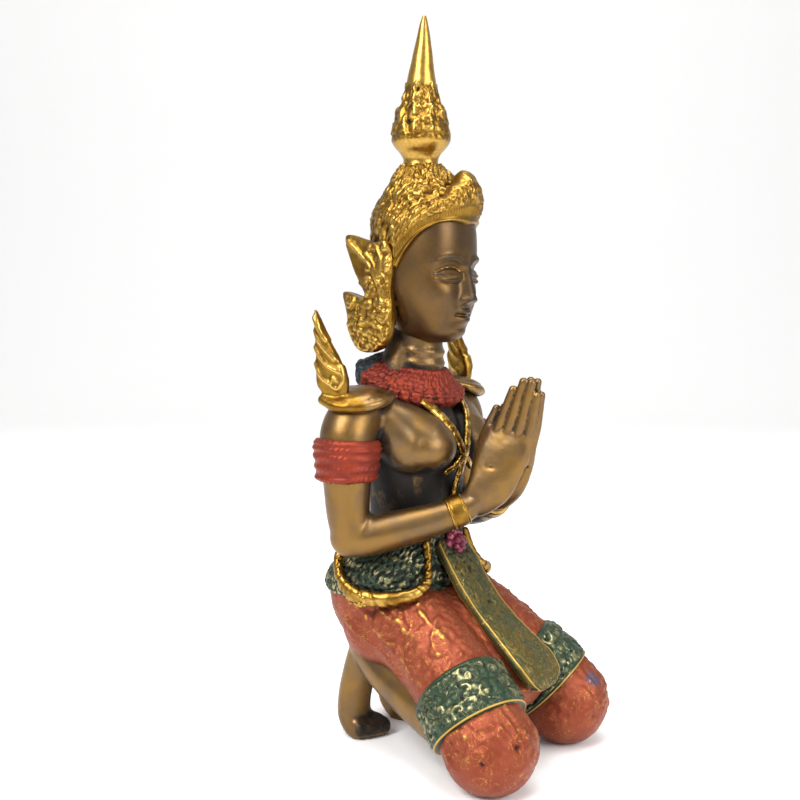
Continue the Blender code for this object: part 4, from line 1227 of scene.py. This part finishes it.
def diadem_high(turn):
    """Height of the diadem's upper edge, with its point at the front and small leaves along it."""
    side = np.abs(turn)
    leaves = 0.9 * np.abs(np.sin(side * 9 + 0.4))
    return 174.6 + 7.8 * np.exp(-((side / 0.42) ** 2)) - 5.2 * np.clip((side - 0.5) / 1.1, 0, 1) + leaves


def diadem():
    """The band over the brow: a rolled lower lip, a fluted band, then curls up to a leafy edge."""
    sides, steps = GRID["diadem"]
    turn = np.linspace(-DIADEM_END, DIADEM_END, steps)
    rows = through(DIADEM_WALL, sides)
    low, high = diadem_low(turn), diadem_high(turn)
    reach = rows[:, :1] + rows[:, 2:] * bell(turn, 0.55)
    level = np.clip(rows[:, 1:2], 0, 1) + 0 * turn
    z = low + (high - low) * rows[:, 1:2]
    face = window(np.arange(sides)[:, None] / sides, 0.14, 0.9, 0.05, 0.09)
    lip = bell(level - 0.07, 0.05)
    ticks = wave(turn * 112) ** 0.8 * window(level, 0.2, 0.38, 0.04, 0.04)
    up = level * (high - low)
    around = turn * DIADEM_RADIUS
    above = ramp(level, 0.36, 0.44)
    curls = scrolls(around / 3.2, up / 3.2, 14, 1.6) * above
    dots = beads(around / 1.9, up / 2.1, 15, jitter=0.3) * above
    leaves = beads(around / 2.0, up / 5.6, 16, jitter=0.3) * ramp(level, 0.5, 0.6) * bell(turn, 0.5)
    carved = np.maximum.reduce([0.6 * ticks, curls, 0.85 * dots, leaves]) * face
    rough = uneven(np.stack([around + 0 * z, z, 0 * z], -1), 2.5, 3)
    reach = reach + face * (0.5 * carved + 0.6 * lip + 0.9 * rough * above)
    rings = np.stack([reach * 0.92 * np.sin(turn), HEAD_Y - reach * 1.02 * np.cos(turn), z], -1)
    raised = 0.2 + 0.5 * carved + 0.3 * lip + 0.4 * rough
    grid_piece("diadem", [(np.swapaxes(rings, 0, 1), raised.T)], GILT, rub=0.5, fine=0.9, shade=0.3)


# Bands on the limbs: start and end as shares of the limb's rows, and how far they stand out
ARM_BAND = (0.42, 0.635, 1.7)
BRACELET = (0.68, 0.82, 0.6)
KNEE_BAND = (0.56, 0.785, 1.5)


def sleeve(rows, start, end, grow, sides, steps, **how):
    """The stretch of a limb between two shares of its rows, grown outward, with its ends drawn in under it."""
    whole = through(rows, 101)
    cut = whole[int(start * 100):int(end * 100) + 1].copy()
    cut[:, 3:5] += grow
    edge = cut[[0, -1]].copy()
    edge[:, 3:5] -= grow * 0.55
    step = unit(np.diff(cut[[0, 1, -2, -1]], axis=0)[[0, 2], :3]) * grow * 0.5
    edge[0, :3] -= step[0]
    edge[1, :3] += step[1]
    return limb(np.vstack([edge[:1], cut, edge[1:]]), sides=sides, steps=steps, ends=False, **how)


def arm_bands():
    """Four cut ridges round the upper arm."""
    rings = sleeve(ARM, *ARM_BAND, *GRID["arm_bands"])
    around, along = share_grids(rings)
    ridges = wave(TAU * (4 * along + 0.3 * lumps(rings, 6, 7))) ** 1.2
    nicks = bell(off_middle(around * 34 + 4.4 * along + lumps(rings, 4, 9)), 0.16)
    nicks = nicks * ramp(lumps(rings, 9, 3), 0.35, 0.6)
    shaped = pushed(rings, 0.5 * ridges - 0.35 * nicks * ridges + 0.5 * uneven(rings, 3, 1))
    grid_piece("arm_bands", paired_relief([(shaped, 0.65 * ridges - 0.3 * nicks)]), BRIGHT_RED, shade=0.5)


def bracelets():
    """Plain gilt bands at the wrists with a line cut along each edge."""
    rings = sleeve(FOREARM, *BRACELET, *GRID["bracelets"], side=(0, 0, 1))
    _, along = share_grids(rings)
    lines = bell(along - 0.16, 0.035) + bell(along - 0.84, 0.035)
    shaped = pushed(rings, -0.15 * lines + 0.25 * uneven(rings, 3, 5))
    grid_piece("bracelets", paired_relief([(shaped, 0.4 - 0.3 * lines)]), GILT, rub=0.4, shade=0.4)


def knee_bands():
    """Green bands round the thighs over the knees: bossed curls between plain edges, the lower one gilt."""
    rings = sleeve(THIGH, *KNEE_BAND, *GRID["knee_bands"])
    around, along = share_grids(rings)
    field = window(along, 0.06, 0.93, 0.06, 0.05)
    curls = scrolls(around * 18, along * 3.0, 21, 1.8, wrap=18)
    dots = beads(around * 30, along * 5.2, 25, jitter=0.3, wrap=30)
    rough = uneven(rings, 3.5, 6)
    worn = ramp(lumps(rings, 5.0, 15), 0.3, 0.6)
    carved = np.maximum(curls * worn, 0.8 * dots) * field
    edge = window(along, 0.945, 0.98, 0.01, 0.01)
    shaped = pushed(rings, 0.85 * carved + 0.4 * edge + rough * field)
    raised = carved * (0.4 + 0.6 * worn) + 0.4 * rough
    gilt = np.concatenate([with_poles(edge), with_poles(edge[:, ::-1])])
    grid_piece("knee_bands", paired_relief([(shaped, raised)]), GREEN, coat=gilt, fine=1.5, shade=0.6)


# Belt, apron and straps

HIP_CLOTH = [
    (51.4, 24.5, 17, 7.2), (52.0, 27.6, 20.4, 7.3), (54.5, 27.8, 20.6, 7.1), (58, 26.6, 19.2, 6.4),
    (62, 24.6, 17.4, 5.2), (65.5, 21, 15.4, 4.2), (69.6, 18.0, 14.2, 3.2),
]
SWAG = [
    (11.4, -9.8, 67.6, 1.4, 1.2), (12.8, -11.6, 61.4, 1.5, 1.3), (16.4, -13.4, 56.2, 1.7, 1.5),
    (21.8, -12.2, 53.8, 2.1, 1.8), (26.4, -6.8, 52.6, 2.4, 1.9), (28.9, 1.4, 52.4, 2.6, 1.9),
    (29.3, 7.6, 54.6, 2.3, 1.8), (27.9, 11.8, 58.8, 1.8, 1.6), (25.4, 13.8, 63.4, 1.6, 1.5),
]
# Petals at the swag's lowest point: their middle, and each one's turn and reach
SWAG_LEAF = (29.8, 3.2, 51.6)
SWAG_PETALS = ((0.3, 2.4), (1.1, 2.9), (-0.5, 2.6), (1.9, 3.4), (-1.4, 3.2), (2.7, 2.0))
FLOWER = (0, -12.6, 66.0)
FLOWER_SIZE = (5.0, 4.2, 5.0)
# Rings of petals: how many, radius, size, how far forward
FLOWER_RINGS = ((9, 3.5, 1.55, 0.6), (6, 1.9, 1.35, 2.5))
APRON = [
    (-11.5, 66, 7.8), (-15.4, 60.6, 8.4), (-20.8, 52.6, 8.2), (-27.6, 45.0, 8.4), (-36.0, 37.8, 9.4),
    (-42.4, 32.4, 10.4), (-45.2, 28.8, 9.4), (-45.8, 26.8, 6.8),
]
APRON_THICK = 1.7
# Flat straps from the collar to the breastbone, their short ends, and the one that hangs to the belt
STRAP = [
    (11.6, -7.0, 113.4, 0.8, 1.7), (7.8, -12.4, 107.6, 0.8, 1.6), (4.0, -15.4, 102.0, 0.85, 1.5),
    (1.4, -16.6, 96.8, 0.9, 1.4), (0.0, -16.6, 94.0, 0.9, 1.2),
]
STRAP_END = [(0.6, -16.4, 94.6, 1.0, 1.2), (3.6, -15.8, 92.0, 0.9, 1.1), (7.6, -14.4, 89.8, 0.7, 0.9)]
HANGING = [
    (0, -16.4, 95.4, 1.3, 1.9), (0, -15.2, 90, 0.9, 1.4), (0, -13.2, 84, 0.8, 1.3),
    (0, -12.0, 76, 0.8, 1.3), (0, -11.4, 68, 0.8, 1.3),
]


def belt():
    """The green cloth round the hips, closely beaded and curled."""
    rings = stack(HIP_CLOTH, *GRID["green_belt"])
    around, along = share_grids(rings)
    curls = scrolls(around * 38, along * 5.6, 31, 1.8, wrap=38)
    dots = beads(around * 62, along * 9.0, 33, jitter=0.28, wrap=62)
    rough = uneven(rings, 3.0, 6)
    carved = np.maximum(curls, 0.85 * dots)
    shaped = pushed(rings, 0.85 * carved + 0.8 * rough)
    raised = 1.2 * carved * ramp(lumps(rings, 2.2, 16), 0.35, 0.6) + 0.3 * rough
    grid_piece("green_belt", [(shaped, raised)], GREEN, dark=0.25, shade=0.5)


def swags():
    """The gilt bands that hang in a loop on each hip, cut with slanting marks, with petals below."""
    sides, steps = GRID["swags"]
    rings = limb(SWAG, side=(0, 0, 1), sides=sides, steps=steps)
    around, along = share_grids(rings)
    wander = lumps(rings, 4.0, 13)
    marks = bell(off_middle(along * 19 + around * 1.5 + 0.8 * wander), 0.13)
    marks = marks * ramp(lumps(rings, 6.0, 21), 0.35, 0.55)
    shaped = pushed(rings, 0.5 * uneven(rings, 2.6, 3) - 0.35 * marks)
    carved = [(shaped, 0.5 - 0.35 * marks + 0.5 * (wander - 0.5))]
    x, y, z = SWAG_LEAF
    for turn, long in SWAG_PETALS:
        middle = (x, y - math.sin(turn) * long * 0.75, z + math.cos(turn) * long * 0.6)
        petal = ball(middle, (1.2, 1.7 + 0.2 * math.sin(3 * turn), 1.3), 22, 16)
        vein = np.arctan2(petal[..., 2] - middle[2], petal[..., 1] - middle[1]) / TAU * 5
        vein = bell(off_middle(vein), 0.2)
        carved.append((pushed(petal, -0.2 * vein), 0.6 - 0.3 * vein))
    grid_piece("swags", paired_relief(carved), GILT, rub=0.5, fine=0.8, shade=0.4)


def flower():
    """The magenta flower at the waist: a boss in two rings of round petals."""
    blooms = [ball(FLOWER, np.array(FLOWER_SIZE) * 0.72, 48, 36)]
    for count, radius, size, forward in FLOWER_RINGS:
        for k in range(count):
            turn = TAU * (k + 0.5 * forward) / count
            middle = (radius * math.cos(turn), FLOWER[1] - forward, FLOWER[2] + radius * math.sin(turn))
            blooms.append(ball(middle, (size, size * 0.9, size), 24, 16))
    blooms.append(ball((0, FLOWER[1] - 3.2, FLOWER[2]), (1.1, 1.1, 1.1), 28, 20))
    carved = [(bloom, 0.45 + 0 * bloom[..., 0]) for bloom in blooms]
    grid_piece("waist_flower", carved, MAGENTA, rub=0.6, fine=2.0, shade=0.5)


def apron():
    """The long panel from the waist to the knees: raised gilt edges, and curls drawn along it."""
    sides, steps = GRID["apron"]
    rings = limb([(0, y, z, half, APRON_THICK) for y, z, half in APRON], sides=sides, steps=steps, power=3.2)
    x = rings[..., 0]
    length = length_along(rings.mean(1))[:, None] + 0 * x
    across = np.abs(x / np.maximum(np.abs(x).max(1, keepdims=True), 1))
    edge = bell(across - 0.93, 0.035)
    curls = scrolls(x / 4.6, length / 5.2, 41, 2.0)
    fine = scrolls(x / 2.6, length / 2.8, 43, 1.4)
    carved = np.maximum(curls, 0.7 * fine) * ramp(0.86 - across, 0, 0.08)
    rough = lumps(rings, 4, 6)
    shaped = pushed(rings, 0.42 * carved + 0.35 * edge + 0.6 * (rough - 0.5))
    raised = 0.55 * carved + 0.35 * ramp(length, 20, 60) * rough
    grid_piece("apron", [(shaped, raised)], OLIVE, coat=with_poles(edge), shade=0.6)


def straps():
    """Flat speckled gilt straps that meet between the breasts, their ends, and one that hangs to the belt."""
    sides, steps = GRID["straps"]
    made = []
    for rows in (STRAP, STRAP_END, HANGING):
        rings = limb(rows, side=(0, 1, 0), sides=sides, steps=steps, power=2.6)
        rough = lumps(rings, 1.2, 2)
        made.append((pushed(rings, 0.5 * (rough - 0.5)), ramp(rough, 0.38, 0.62)))
    made = paired_relief(made[:2]) + made[2:]
    grid_piece("straps", made, GILT, rub=0.4, fine=1.2, shade=0.5, dark=0.1)


# Stage, light and camera

CAMERA_AZIMUTH = -56.1
CAMERA_AWAY = 360.0
CAMERA_UP = 144.5
CAMERA_PITCH = 5.3
CAMERA_YAW = -1.05
FOCAL_PIXELS = 1122.0
PHOTO_PIXELS = 800.0
SENSOR_MM = 36.0
# Metres: the floor's width to each side and its curve's start and radius, and where the lights aim
FLOOR_SIDE = 3.0
CURVE_START = 0.9
CURVE_RADIUS = 0.6
CHEST_HEIGHT = 0.11


def stage():
    """A pale floor that curves up behind the figure into a backdrop."""
    back = math.radians(CAMERA_AZIMUTH)
    away = np.array([-math.sin(back), math.cos(back)])
    side = np.array([away[1], -away[0]])
    turn = np.linspace(0, math.pi / 2, 25)
    run = np.concatenate([[-2.0], CURVE_START + CURVE_RADIUS * np.sin(turn), [CURVE_START + CURVE_RADIUS]])
    rise = np.concatenate([[0.0], CURVE_RADIUS - CURVE_RADIUS * np.cos(turn), [3.0]])
    points = [[*(away * r + side * s), z] for s in (-FLOOR_SIDE, FLOOR_SIDE) for r, z in zip(run, rise)]
    count = len(run)
    faces = [(k, k + 1, count + k + 1, count + k) for k in range(count - 1)]
    mesh = bpy.data.meshes.new("floor")
    mesh.from_pydata(points, [], faces)
    mesh.shade_smooth()
    paper = bpy.data.materials.new("matt_white_paper")
    paper.use_nodes = True
    surface = paper.node_tree.nodes["Principled BSDF"]
    surface.inputs["Base Color"].default_value = linear("#fbfaf9")
    surface.inputs["Roughness"].default_value = 0.9
    surface.inputs["Specular IOR Level"].default_value = 0.2
    mesh.materials.append(paper)
    floor = bpy.data.objects.new("floor", mesh)
    bpy.context.scene.collection.objects.link(floor)


def softbox(name, azimuth, up, away, width, watts, colour="#ffffff"):
    """A square studio light at an azimuth from the figure's front, aimed at its chest."""
    turn = math.radians(azimuth)
    place = Vector((math.sin(turn) * away, -math.cos(turn) * away, up))
    aim = Vector((0, 0, CHEST_HEIGHT)) - place
    lamp = bpy.data.lights.new(name, "AREA")
    lamp.shape = "SQUARE"
    lamp.size = width
    lamp.energy = watts
    lamp.color = linear(colour)[:3]
    box = bpy.data.objects.new(name, lamp)
    box.location = place
    box.rotation_euler = aim.to_track_quat("-Z", "Y").to_euler()
    bpy.context.scene.collection.objects.link(box)


def light():
    """Soft daylight all round, a large box overhead and one to each side."""
    world = bpy.data.worlds.new("studio")
    world.use_nodes = True
    sky = world.node_tree.nodes["Background"]
    sky.inputs["Color"].default_value = linear("#f7f8fa")
    sky.inputs["Strength"].default_value = 0.6
    bpy.context.scene.world = world
    softbox("key", -95, 0.75, 0.75, 0.5, 10.0)
    softbox("fill", -5, 0.45, 0.8, 0.5, 5.0)
    softbox("top", -40, 1.0, 0.15, 0.6, 7.0)
    bpy.context.scene.view_settings.view_transform = "Standard"


def camera():
    """The camera at the photograph's place: its direction from the figure, height, pitch and small yaw."""
    turn = math.radians(CAMERA_AZIMUTH)
    back = Vector((math.sin(turn), -math.cos(turn), 0))
    eye = bpy.data.cameras.new("camera")
    eye.sensor_width = SENSOR_MM
    eye.lens = FOCAL_PIXELS / PHOTO_PIXELS * SENSOR_MM
    eye.clip_start = 0.01
    made = bpy.data.objects.new("camera", eye)
    made.location = (back * CAMERA_AWAY + Vector((0, AXIS_BACK, CAMERA_UP))) * UNIT
    level = (-back).to_track_quat("-Z", "Y").to_matrix()
    yaw = Matrix.Rotation(-math.radians(CAMERA_YAW), 3, "Y")
    pitch = Matrix.Rotation(-math.radians(CAMERA_PITCH), 3, "X")
    made.rotation_euler = (level @ yaw @ pitch).to_euler()
    bpy.context.scene.collection.objects.link(made)
    bpy.context.scene.camera = made


for make in (
    body, hands, head, legs, trousers, collar, epaulettes, ear_flames, spire, dome, diadem, arm_bands,
    bracelets, knee_bands, belt, swags, flower, apron, straps,
):
    make()
finish_pieces()
stage()
light()
camera()
